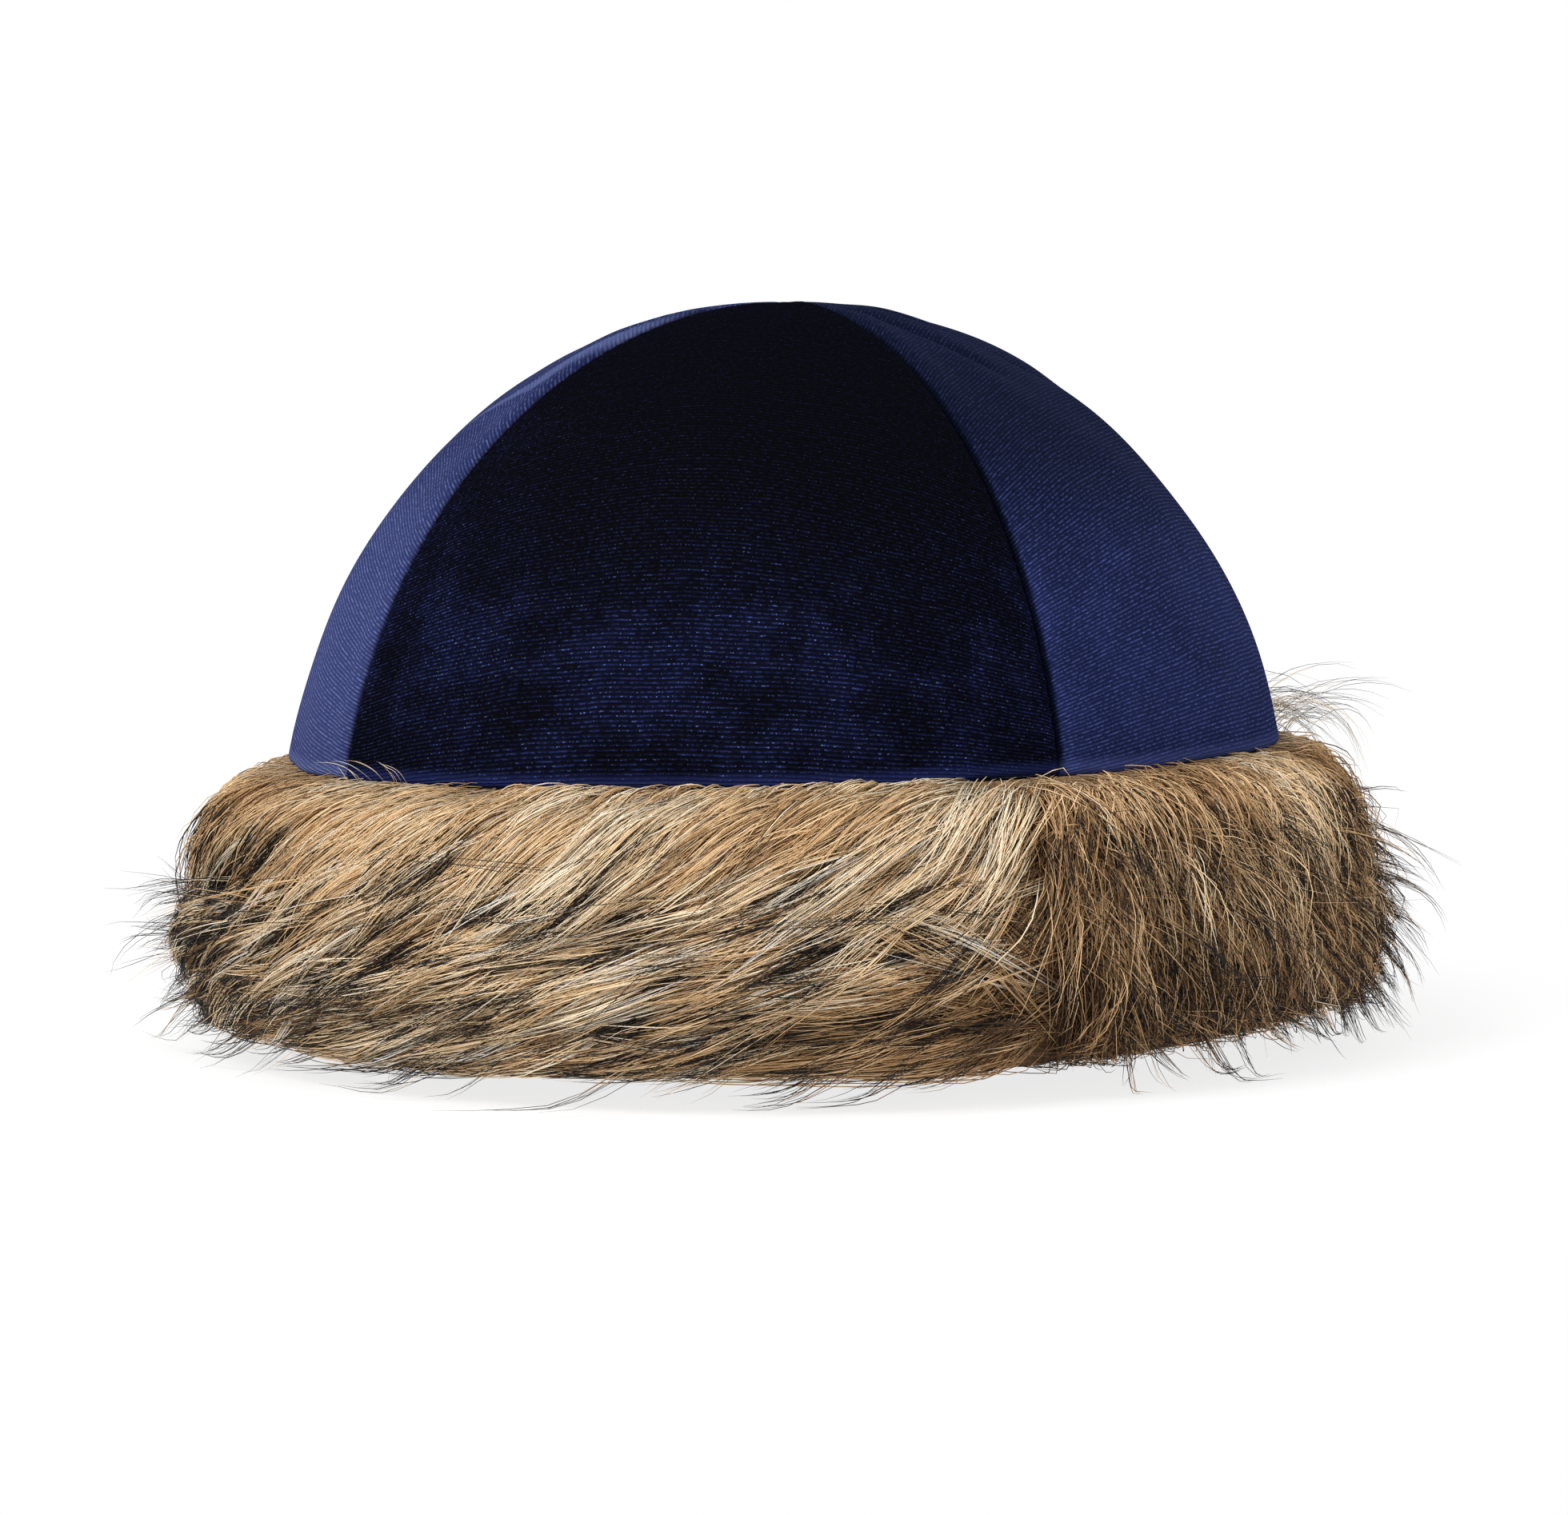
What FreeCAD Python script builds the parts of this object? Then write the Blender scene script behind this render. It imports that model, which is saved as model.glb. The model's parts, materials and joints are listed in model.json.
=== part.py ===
"""Fur-banded cap: a domed crown of four velvet gores, wadded and lined, on a wide padded band of long fur.

Millimetres. +Z is up and -Y is the front. The origin is on the plane that the band rests on, under the
top of the crown.
"""

import FreeCAD, Part
import math
import os

import Sketcher

doc = FreeCAD.newDocument("fur_banded_cap")

# Driving dimensions, in millimetres
SIZES = {
    # The oval that the head goes into, inside the sweatband
    "head_width": 170.0,
    "head_length": 198.0,
    # Plies of the band, from the head outwards
    "sweatband_thickness": 1.0,
    "facing_thickness": 0.6,
    "padding_thickness": 2.0,
    "backing_thickness": 1.0,
    "ply_gap": 0.1,
    # Heights of the band and of what it holds
    "band_height": 52.0,
    "pile_under_band": 4.8,
    "backing_turn_up": 12.0,
    "sweatband_height": 32.0,
    "sweatband_clearance": 3.0,
    "sweatband_join_gap": 0.4,
    "stitch_margin": 3.0,
    # The fur's section, outwards from the band
    "pile_reach": 18.6,
    "pile_flat_reach": 10.0,
    "pile_widest_low": 14.0,
    "pile_widest_high": 29.0,
    "pile_trim": 0.5,
    "fur_join_angle": -48.0,
    "fur_join_gap": 0.6,
    "pile_parting": 0.4,
    # The crown above the band
    "crown_rise": 82.0,
    "dome_sink": 16.4,
    "first_seam_angle": -45.0,
    "velvet_thickness": 0.8,
    "wadding_thickness": 1.8,
    "lining_thickness": 0.4,
    "seam_allowance": 7.0,
    "hem_turning": 3.8,
    # Sewing thread and the channel left for it between two gores of wadding
    "thread_width": 0.4,
    "tack_clearance": 0.05,
    "seam_channel": 0.7,
}

# The middle of the back as an angle from +X
BACK = 90

# The two strips of fur by the direction of the join that each begins at, and the two joins
FUR_HALVES = {"back_right": "sizes.fur_join_angle", "front_left": "sizes.fur_join_angle + 180"}
FUR_JOINS = {"front": "sizes.fur_join_angle", "back": "sizes.fur_join_angle + 180"}

# The four gores by the angle at which each begins, turning from +X towards +Y
GORE_ANGLES = {
    "right": "sizes.first_seam_angle",
    "back": "sizes.first_seam_angle + 90",
    "left": "sizes.first_seam_angle + 180",
    "front": "sizes.first_seam_angle + 270",
}

sheet = doc.addObject("Spreadsheet::Sheet", "sizes")
for row, (alias, value) in enumerate(SIZES.items(), start=1):
    sheet.set(f"A{row}", alias)
    sheet.set(f"B{row}", str(value))
    sheet.setAlias(f"B{row}", alias)
doc.recompute()

# Sums that several pieces share, as expressions on the sheet
FACING_IN = "(sizes.sweatband_thickness + sizes.ply_gap)"
FACING_OUT = f"({FACING_IN} + sizes.facing_thickness)"
PADDING_IN = f"({FACING_OUT} + sizes.ply_gap)"
PADDING_OUT = f"({PADDING_IN} + sizes.padding_thickness)"
BACKING_IN = f"({PADDING_OUT} + sizes.ply_gap)"
BACKING_OUT = f"({BACKING_IN} + sizes.backing_thickness)"
PILE_IN = f"({BACKING_OUT} + sizes.ply_gap)"
BAND_TOP = "(sizes.band_height - sizes.ply_gap)"

DOME_RISE = "(sizes.crown_rise + sizes.dome_sink)"
DOME_FLARE = f"sqrt(1 - (sizes.dome_sink / {DOME_RISE}) ^ 2)"
ALLOWANCE_INNER = "(2 * sizes.velvet_thickness)"
WADDING_OUTER = f"({ALLOWANCE_INNER} + sizes.ply_gap)"
WADDING_INNER = f"({WADDING_OUTER} + sizes.wadding_thickness)"
LINING_OUTER = f"({WADDING_INNER} + sizes.ply_gap)"
LINING_INNER = f"({LINING_OUTER} + sizes.lining_thickness)"
CROWN_THREAD = f"({WADDING_OUTER} + sizes.thread_width / 2)"
LINING_THREAD = f"({WADDING_INNER} - sizes.thread_width / 2)"
DOME_CENTRE = "(sizes.band_height - sizes.dome_sink)"
SIDE_RADIUS = {
    "width": f"((sizes.head_width / 2 + {BACKING_OUT}) / {DOME_FLARE})",
    "length": f"((sizes.head_length / 2 + {BACKING_OUT}) / {DOME_FLARE})",
}

# Each dome of the crown by how far it lies inside the outermost one
DOME_INSETS = {
    "outside": "0",
    "velvet": "sizes.velvet_thickness",
    "allowance": ALLOWANCE_INNER,
    "wadding": WADDING_OUTER,
    "wadding_back": WADDING_INNER,
    "lining": LINING_OUTER,
    "lining_back": LINING_INNER,
}

HEM_TOP = "(sizes.band_height + sizes.velvet_thickness)"
PLIES_FROM = f"({HEM_TOP} + sizes.ply_gap)"
CROWN_TOP = "(sizes.band_height + sizes.crown_rise)"
PADDING_FROM = "(sizes.pile_under_band + sizes.backing_thickness + sizes.ply_gap)"
PADDING_TO = f"({BAND_TOP} - sizes.thread_width - sizes.ply_gap)"
FACING_FROM = "(sizes.pile_under_band + sizes.backing_turn_up + sizes.ply_gap)"
RIBBON_FROM = "(sizes.pile_under_band + sizes.sweatband_clearance)"
FAR = "sizes.head_length"

# How far a cutting shape runs past what it cuts
PAST = "1"


def bind(piece, **expressions):
    """Binds properties of piece to expressions on the sheet. A property's dot is written _ here."""
    for name, expression in expressions.items():
        piece.setExpression(name.replace("_", "."), str(expression))
    return piece


def lift(piece, height):
    """Puts piece at a height that follows the sheet."""
    return bind(piece, Placement_Base_z=height)


def cut(name, base, tool):
    result = doc.addObject("Part::Cut", name)
    result.Base = base
    result.Tool = tool
    return result


def common(name, base, tool):
    result = doc.addObject("Part::Common", name)
    result.Base = base
    result.Tool = tool
    return result


def oval_column(name, offset, low, high):
    """An upright column whose oval stands off the head's oval by offset."""
    oval = doc.addObject("Part::Ellipse", f"{name}_oval")
    oval.Placement.Rotation = FreeCAD.Rotation(FreeCAD.Vector(0, 0, 1), 90)
    bind(oval, MajorRadius=f"sizes.head_length / 2 + ({offset})")
    bind(oval, MinorRadius=f"sizes.head_width / 2 + ({offset})")
    lift(oval, low)
    column = doc.addObject("Part::Extrusion", f"{name}_column")
    column.Base = oval
    column.DirMode = "Custom"
    column.Dir = FreeCAD.Vector(0, 0, 1)
    column.Solid = True
    return bind(column, LengthFwd=f"({high}) - ({low})")


def oval_tube(name, inner, outer, low, high):
    """A strip that runs round the head's oval, from the offset inner to the offset outer."""
    hollow = oval_column(f"{name}_hollow", inner, f"{low} - {PAST}", f"{high} + {PAST}")
    return cut(name, oval_column(f"{name}_outside", outer, low, high), hollow)


def box(name, start, length, width, low, high, angle):
    """A block along a line at angle, from start to length along it and between two widths across it."""
    block = doc.addObject("Part::Box", name)
    bind(block, Length=f"{length} - ({start})", Width=f"{width[1]} - ({width[0]})")
    bind(block, Height=f"{high} - ({low})")
    turn = f"({angle}) * 1 deg"
    along = f"({start}) * cos({turn}) - ({width[0]}) * sin({turn})"
    across = f"({start}) * sin({turn}) + ({width[0]}) * cos({turn})"
    corner = f"vector({along}; {across}; {low})"
    return bind(block, Placement=f"placement({corner}; rotation(vector(0; 0; 1); {angle}))")


def dome(name, inset):
    """The crown's egg shape, inset from its outside. The side leans out a little down to the hem.

    The egg lies on its side, so that its poles are under the hem and its surface is smooth at the top.
    """
    egg = doc.addObject("Part::Ellipsoid", name)
    egg.Angle1 = -90
    egg.Angle2 = 90
    egg.Angle3 = 360
    egg.Placement.Rotation = FreeCAD.Rotation(FreeCAD.Vector(0, 1, 0), 90)
    bind(egg, Radius1=f"{SIDE_RADIUS['width']} - ({inset})")
    bind(egg, Radius2=f"{DOME_RISE} - ({inset})")
    bind(egg, Radius3=f"{SIDE_RADIUS['length']} - ({inset})")
    return lift(egg, DOME_CENTRE)


def gore_block(name, angle, low, inset):
    """A quarter of the crown's space, kept inset from both of its seam planes."""
    return box(name, inset, FAR, (inset, FAR), low, f"{CROWN_TOP} + {PAST}", angle)


def quarter_ply(name, angle, outer, inner, inset):
    """A quarter of one ply of the crown, between two of its domes."""
    block = gore_block(f"{name}_block", angle, PLIES_FROM, inset)
    return cut(name, common(f"{name}_quarter", outer, block), inner)


def shell_panel(side, angle):
    """A velvet gore: its face, its seam allowances turned back under it, and its hem turned in."""
    name = f"shell_panel_{side}"
    block = gore_block(f"{name}_block", angle, "sizes.band_height", "0")
    face = common(f"{name}_face", domes["outside"], block)
    middle = gore_block(f"{name}_middle", angle, HEM_TOP, "sizes.seam_allowance")
    single = cut(f"{name}_single", face, common(f"{name}_room", domes["velvet"], middle))
    double = cut(f"{name}_double", single, under_allowances)
    return cut(name, double, mouth)


def crown_wadding(side, angle):
    """The wadding behind a gore. The seam threads lie in the channels between it and its neighbours."""
    channel = "sizes.seam_channel / 2"
    return quarter_ply(f"crown_wadding_{side}", angle, domes["wadding"], domes["wadding_back"], channel)


def lining_panel(side, angle):
    """A satin gore of the lining."""
    return quarter_ply(f"lining_panel_{side}", angle, domes["lining"], domes["lining_back"], "0")


def measure(expression):
    """The value of an expression on the sheet."""
    return float(sheet.evalExpression(expression))


def upright_arc(across, rise, angles):
    """An arc of an upright oval round the dome's centre, between two angles up from the level."""
    start, end = angles
    turns = (start, (start + end) / 2, end)
    first, middle, last = [FreeCAD.Vector(math.cos(turn), 0, math.sin(turn)) for turn in turns]
    stretch = FreeCAD.Matrix()
    stretch.scale(across, 1, rise)
    return Part.Arc(first, middle, last).toShape().transformGeometry(stretch).Edges[0]


def seam_thread(name, depth, angle, whole):
    """A thread that follows a seam in its plane at a depth under the crown, down to the hem.

    A whole one runs over the top. One that isn't whole stops beside it.
    """
    thread = doc.addObject("Part::Feature", name)
    turn = math.radians(measure(angle))
    width = measure("sizes.thread_width")
    centre = measure(DOME_CENTRE)
    foot = measure(PLIES_FROM) - centre
    beside = width + measure("sizes.ply_gap")
    edges = []
    for inset in (measure(depth) - width / 2, measure(depth) + width / 2):
        rise = measure(DOME_RISE) - inset
        along_x = math.cos(turn) / (measure(SIDE_RADIUS["width"]) - inset)
        along_y = math.sin(turn) / (measure(SIDE_RADIUS["length"]) - inset)
        across = 1 / math.hypot(along_x, along_y)
        start = math.asin(foot / rise)
        end = math.pi - start if whole else math.acos(beside / across)
        edges.append(upright_arc(across, rise, (start, end)))
    outer, inner = edges
    ends = [Part.makeLine(outer.firstVertex().Point, inner.firstVertex().Point)]
    ends += [Part.makeLine(outer.lastVertex().Point, inner.lastVertex().Point)]
    section = Part.Face(Part.Wire(Part.__sortEdges__([outer, inner] + ends)))
    section.translate(FreeCAD.Vector(0, -width / 2, 0))
    thread.Shape = section.extrude(FreeCAD.Vector(0, width, 0))
    upright = FreeCAD.Rotation(FreeCAD.Vector(0, 0, 1), measure(angle))
    thread.Placement = FreeCAD.Placement(FreeCAD.Vector(0, 0, centre), upright)
    return thread


def seam_threads(prefix, depth):
    """The long thread over the top, and the two that stop short of it."""
    return [
        seam_thread(f"{prefix}_long", depth, GORE_ANGLES["right"], True),
        seam_thread(f"{prefix}_front_left", depth, GORE_ANGLES["front"], False),
        seam_thread(f"{prefix}_back_right", depth, GORE_ANGLES["back"], False),
    ]


def fur_half(name, ring, angle, gap):
    """The half of a ring on one side of the plane of the two strip joins, kept a gap away from it.

    Its underside is trimmed flat at the plane that the cap rests on.
    """
    block = box(f"{name}_block", f"-{FAR}", FAR, (gap, FAR), "0", CROWN_TOP, angle)
    return common(name, ring, block)


def fur_join_thread(name, angle):
    """The upright thread between the ends of the two backings, at an angle round the band."""
    half = "sizes.thread_width / 2"
    low = "sizes.pile_under_band + sizes.backing_thickness"
    plane = box(f"{name}_plane", "0", FAR, (f"-{half}", half), low, BAND_TOP, angle)
    middle = f"({BACKING_IN} + {BACKING_OUT}) / 2"
    ring = oval_tube(f"{name}_ring", f"{middle} - {half}", f"{middle} + {half}", low, BAND_TOP)
    return common(name, ring, plane)


def backing_ring(name):
    """The fur's knitted ground: up the outside of the band, under it, and a little way up inside."""
    low = "sizes.pile_under_band"
    solid = oval_tube(f"{name}_solid", FACING_IN, BACKING_OUT, low, BAND_TOP)
    floor_top = f"({low} + sizes.backing_thickness)"
    over = f"{BAND_TOP} + {PAST}"
    trough = oval_tube(f"{name}_trough", FACING_OUT, BACKING_IN, floor_top, over)
    folded = cut(f"{name}_folded", solid, trough)
    turn_top = f"({low} + sizes.backing_turn_up)"
    above_turn = oval_tube(f"{name}_above_turn", "0", PADDING_IN, turn_top, over)
    return cut(name, folded, above_turn)


def pile_section(name):
    """The fur's section: level below, round at its widest, and drawn in under the crown's hem.

    It reaches a little lower than the plane that the cap rests on, where the fur is trimmed flat.
    The numbers here only start the sketch off. Its measures, named below, come from the sheet.
    """
    sketch = doc.addObject("Sketcher::SketchObject", name)
    vector = FreeCAD.Vector
    foot, flat, root, reach = 1.0, 15.0, 5.0, 24.0
    trim, under, low, high, top = 0.5, 5.0, 14.0, 29.0, 52.0
    rest = sketch.addGeometry(Part.LineSegment(vector(foot, -trim), vector(flat, -trim)))
    lower = sketch.addGeometry(Part.Arc(vector(flat, -trim), vector(reach - 2, low / 2), vector(reach, low)))
    wide = sketch.addGeometry(Part.LineSegment(vector(reach, low), vector(reach, high)))
    upper = sketch.addGeometry(Part.Arc(vector(reach, high), vector(reach - 6, top - 8), vector(root, top)))
    back = sketch.addGeometry(Part.LineSegment(vector(root, top), vector(root, under)))
    ledge = sketch.addGeometry(Part.LineSegment(vector(root, under), vector(foot, under)))
    inner = sketch.addGeometry(Part.LineSegment(vector(foot, under), vector(foot, -trim)))
    origin, start, end = -1, 1, 2
    joints = [("Coincident", rest, lower), ("Tangent", lower, wide), ("Tangent", wide, upper)]
    joints += [("Coincident", upper, back), ("Coincident", back, ledge)]
    joints += [("Coincident", ledge, inner), ("Coincident", inner, rest)]
    for kind, first, second in joints:
        sketch.addConstraint(Sketcher.Constraint(kind, first, end, second, start))
    for line in (rest, ledge):
        sketch.addConstraint(Sketcher.Constraint("Horizontal", line))
    for line in (wide, back, inner):
        sketch.addConstraint(Sketcher.Constraint("Vertical", line))
    depth = sketch.addConstraint(Sketcher.Constraint("DistanceY", rest, start, origin, start, trim))
    sketch.setExpression(f"Constraints[{depth}]", "sizes.pile_trim")
    measures = {
        "foot": ("DistanceX", rest, start, foot, FACING_IN),
        "flat": ("DistanceX", rest, end, flat, f"{BACKING_OUT} + sizes.pile_flat_reach"),
        "reach": ("DistanceX", wide, start, reach, f"{BACKING_OUT} + sizes.pile_reach"),
        "root": ("DistanceX", back, start, root, PILE_IN),
        "low": ("DistanceY", wide, start, low, "sizes.pile_widest_low"),
        "high": ("DistanceY", wide, end, high, "sizes.pile_widest_high"),
        "top": ("DistanceY", back, start, top, BAND_TOP),
        "under": ("DistanceY", ledge, start, under, "sizes.pile_under_band - sizes.ply_gap"),
    }
    for label, (kind, line, point, value, expression) in measures.items():
        number = sketch.addConstraint(Sketcher.Constraint(kind, origin, start, line, point, value))
        sketch.renameConstraint(number, label)
        sketch.setExpression(f"Constraints.{label}", expression)
    sketch.Placement.Rotation = FreeCAD.Rotation(vector(0, 1, 0), vector(0, 0, 1), vector(1, 0, 0), "XYZ")
    return bind(sketch, Placement_Base_y="sizes.head_length / 2")


def pile_ring(name):
    """The section carried round the head's oval, as two sides that meet at the front and the back."""
    section = pile_section(f"{name}_section")
    sides = []
    for side, begin in (("left", 0), ("right", 180)):
        path = doc.addObject("Part::Ellipse", f"{name}_{side}_path")
        path.Placement.Rotation = FreeCAD.Rotation(FreeCAD.Vector(0, 0, 1), BACK)
        path.Angle1 = begin
        path.Angle2 = begin + 180
        bind(path, MajorRadius="sizes.head_length / 2", MinorRadius="sizes.head_width / 2")
        sweep = doc.addObject("Part::Sweep", f"{name}_{side}")
        sweep.Sections = [section]
        sweep.Spine = (path, [])
        sweep.Solid = True
        sides.append(sweep)
    ring = doc.addObject("Part::Fuse", name)
    ring.Base, ring.Tool = sides
    return ring


def ring_of_thread(name, offset, low):
    """A thread that runs round the head's oval."""
    width = "sizes.thread_width"
    return oval_tube(name, offset, f"{offset} + {width}", low, f"{low} + {width}")


def hem_seam_thread(name):
    """The thread under the crown's turned hem, in the band's top, between its padding and its hem."""
    return ring_of_thread(name, f"({PADDING_IN} + {PADDING_OUT}) / 2", f"({BAND_TOP} - sizes.thread_width)")


def sweatband(name):
    """The ribbon round the forehead, as a ring whose two ends meet at the back."""
    high = f"({RIBBON_FROM} + sizes.sweatband_height)"
    ring = oval_tube(f"{name}_ring", "0", "sizes.sweatband_thickness", RIBBON_FROM, high)
    half = "sizes.sweatband_join_gap / 2"
    join = box(f"{name}_join", "0", FAR, (f"-{half}", half), f"{RIBBON_FROM} - {PAST}", BAND_TOP, BACK)
    return cut(name, ring, join)


def sweatband_stitching(name):
    """The line of stitching along the ribbon's upper edge, which lies on its inner face."""
    low = f"({RIBBON_FROM} + sizes.sweatband_height - sizes.stitch_margin)"
    return ring_of_thread(name, "(-sizes.thread_width)", low)


def apex_tack(name):
    """The upright tack at the top of the crown, between the crown's long thread and the lining's."""
    tack = doc.addObject("Part::Cylinder", name)
    low = f"({CROWN_TOP} - {LINING_THREAD} + sizes.thread_width / 2 + sizes.tack_clearance)"
    high = f"({CROWN_TOP} - {CROWN_THREAD} - sizes.thread_width / 2 - sizes.tack_clearance)"
    bind(tack, Radius="sizes.thread_width / 2", Height=f"{high} - {low}")
    return lift(tack, low)


domes = {name: dome(f"dome_{name}", inset) for name, inset in DOME_INSETS.items()}
all_round = (f"-{FAR}", FAR)
crown_room = box("crown_room", f"-{FAR}", FAR, all_round, HEM_TOP, f"{CROWN_TOP} + {PAST}", 0)
under_allowances = common("under_allowances", domes["allowance"], crown_room)
mouth_edge = f"{BACKING_OUT} - sizes.hem_turning"
mouth = oval_column("mouth", mouth_edge, f"sizes.band_height - {PAST}", f"{HEM_TOP} + {PAST}")

pieces = []
for side, angle in GORE_ANGLES.items():
    pieces.append(shell_panel(side, angle))
    pieces.append(crown_wadding(side, angle))
    pieces.append(lining_panel(side, angle))
pieces += seam_threads("crown_seam_thread", CROWN_THREAD)
pieces += seam_threads("lining_seam_thread", LINING_THREAD)
pieces.append(apex_tack("apex_tack"))

pile = pile_ring("pile_ring")
backing = backing_ring("backing_ring")
for place, angle in FUR_HALVES.items():
    pieces.append(fur_half(f"fur_pile_{place}", pile, angle, "sizes.pile_parting / 2"))
    pieces.append(fur_half(f"fur_backing_{place}", backing, angle, "sizes.fur_join_gap / 2"))
for place, angle in FUR_JOINS.items():
    pieces.append(fur_join_thread(f"fur_join_thread_{place}", angle))
pieces.append(oval_tube("band_padding", PADDING_IN, PADDING_OUT, PADDING_FROM, PADDING_TO))
pieces.append(oval_tube("band_facing", FACING_IN, FACING_OUT, FACING_FROM, BAND_TOP))
pieces.append(hem_seam_thread("hem_seam_thread"))
pieces.append(sweatband("sweatband"))
pieces.append(sweatband_stitching("sweatband_stitching"))
doc.recompute()

for item in doc.Objects:
    if "Invalid" in item.State or "Error" in item.State:
        raise RuntimeError(f"{item.Label} failed: {item.State}")
for piece in pieces:
    shape = piece.Shape
    if shape.isNull() or not shape.isValid() or not shape.Solids:
        raise RuntimeError(f"{piece.Label} has no valid solid")
    print(piece.Label, round(shape.Volume, 1), "mm3 in", len(shape.Solids), "solid")

os.makedirs("parts", exist_ok=True)
for piece in pieces:
    piece.Shape.exportStep(f"parts/{piece.Label}.step")
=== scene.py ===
"""Looks of the fur-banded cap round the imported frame: velvet crown, brushed fur, lining and ribbon."""

import json
import math

import bpy
import numpy as np
from mathutils import Matrix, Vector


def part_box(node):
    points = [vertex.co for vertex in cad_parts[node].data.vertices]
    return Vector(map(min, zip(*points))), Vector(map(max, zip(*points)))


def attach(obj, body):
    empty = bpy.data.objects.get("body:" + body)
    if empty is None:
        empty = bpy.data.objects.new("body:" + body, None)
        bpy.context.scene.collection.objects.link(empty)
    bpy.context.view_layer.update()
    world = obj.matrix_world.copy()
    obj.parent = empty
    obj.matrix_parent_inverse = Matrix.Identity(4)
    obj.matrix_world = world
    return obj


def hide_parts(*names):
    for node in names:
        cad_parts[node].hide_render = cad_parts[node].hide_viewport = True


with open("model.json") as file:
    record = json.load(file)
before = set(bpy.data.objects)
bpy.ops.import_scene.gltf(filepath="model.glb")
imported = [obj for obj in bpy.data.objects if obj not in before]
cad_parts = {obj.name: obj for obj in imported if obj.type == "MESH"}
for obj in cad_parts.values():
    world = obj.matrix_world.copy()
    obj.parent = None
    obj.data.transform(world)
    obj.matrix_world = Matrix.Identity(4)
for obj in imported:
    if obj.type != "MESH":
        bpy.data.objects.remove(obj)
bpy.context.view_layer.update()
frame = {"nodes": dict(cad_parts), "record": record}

# Lengths in this script are in millimetres, and meshes are made in metres
MM = 0.001

# The photograph's frame in pixels, where the middle of the crown's hem lies in it, and its scale there
PHOTO_WIDTH, PHOTO_HEIGHT = 1960, 1894
HEM_CENTRE_PIXEL = (984, 937)
MM_PER_PIXEL = 0.1468
CAMERA_AZIMUTH, CAMERA_ELEVATION = 12.0, 4.0
CAMERA_DISTANCE = 1100.0
SENSOR_WIDTH = 36.0


def heights(node):
    """How low and how high a node reaches."""
    low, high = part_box(node)
    return low.z / MM, high.z / MM


# The head's oval, from the ribbon and the filling that lie round it
RIBBON_THICKNESS = 1.0
FILLING_OUTSIDE = 3.8
RIBBON_LOW, RIBBON_HIGH = heights("sweatband")
HEAD_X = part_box("sweatband")[1].x / MM - RIBBON_THICKNESS
HEAD_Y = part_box("band_padding")[1].y / MM - FILLING_OUTSIDE

# The crown's egg, from its hem and its top
crown_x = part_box("shell_panel_right")[1].x / MM
crown_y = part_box("shell_panel_back")[1].y / MM
HEM_HEIGHT, CROWN_TOP = heights("shell_panel_front")
DOME_SINK = 16.4
DOME_RISE = CROWN_TOP - HEM_HEIGHT + DOME_SINK
DOME_BASE = HEM_HEIGHT - DOME_SINK
DOME_FLARE = math.sqrt(1 - (DOME_SINK / DOME_RISE) ** 2)
DOME_X = crown_x / DOME_FLARE
DOME_Y = crown_y / DOME_FLARE

# The hem stands a little higher on the +X side
HEM_TILT = math.tan(math.radians(1.2))

# The fur's outline, outwards from the head's oval
FUR_ROOT = 5.0
FUR_FOOT = 1.1
FUR_TOP = heights("fur_pile_back_right")[1]
FUR_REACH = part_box("fur_pile_back_right")[1].x / MM - HEAD_X
FUR_WIDE_LOW, FUR_WIDE_HIGH = 14.0, 29.0
FUR_FLAT = 15.8

# Where the fur's two strips part at the front, as an angle round the oval
PARTING = math.radians(-51.0)

# Sines in a surface of waves, and the least length by which a direction is divided
WAVES = 6
TINY = 1e-9


def add_object(name, data):
    """A new object with this data, in the scene."""
    made = bpy.data.objects.new(name, data)
    bpy.context.scene.collection.objects.link(made)
    return made


def make_mesh(name, points, faces, uvs=None):
    """A piece from points in millimetres. All its faces have as many corners, and uvs their places."""
    points = np.asarray(points, float).reshape(-1, 3) * MM
    faces = np.asarray(faces, int)
    mesh = bpy.data.meshes.new(name)
    mesh.vertices.add(len(points))
    mesh.vertices.foreach_set("co", points.astype(np.float32).ravel())
    mesh.loops.add(faces.size)
    mesh.loops.foreach_set("vertex_index", faces.astype(np.int32).ravel())
    mesh.polygons.add(len(faces))
    mesh.polygons.foreach_set("loop_start", np.arange(len(faces), dtype=np.int32) * faces.shape[1])
    if uvs is not None:
        layer = mesh.uv_layers.new(name="OFBake")
        layer.data.foreach_set("uv", np.asarray(uvs, np.float32).ravel())
    mesh.update(calc_edges=True)
    mesh.polygons.foreach_set("use_smooth", np.ones(len(faces), bool))
    return add_object(name, mesh)


def put_on(piece, node, material):
    """Gives a piece its material and puts it on the cap in place of a node."""
    piece.data.materials.append(material)
    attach(piece, "root")
    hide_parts(node)


def thicken(piece, thickness, side):
    """Makes cloth of a surface, towards its normals where side is 1 and away from them where it is -1."""
    cloth = piece.modifiers.new("cloth", "SOLIDIFY")
    cloth.thickness = thickness * MM
    cloth.offset = side


def grid_faces(rows, columns, closed=False):
    """The faces of a grid of points, row by row. A closed one joins its last column to its first."""
    last = columns if closed else columns - 1
    row, column = np.meshgrid(np.arange(rows - 1), np.arange(last), indexing="ij")
    after = (column + 1) % columns
    corners = [row * columns + column, row * columns + after]
    corners += [(row + 1) * columns + after, (row + 1) * columns + column]
    return np.stack([corner.ravel() for corner in corners], axis=1)


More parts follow.
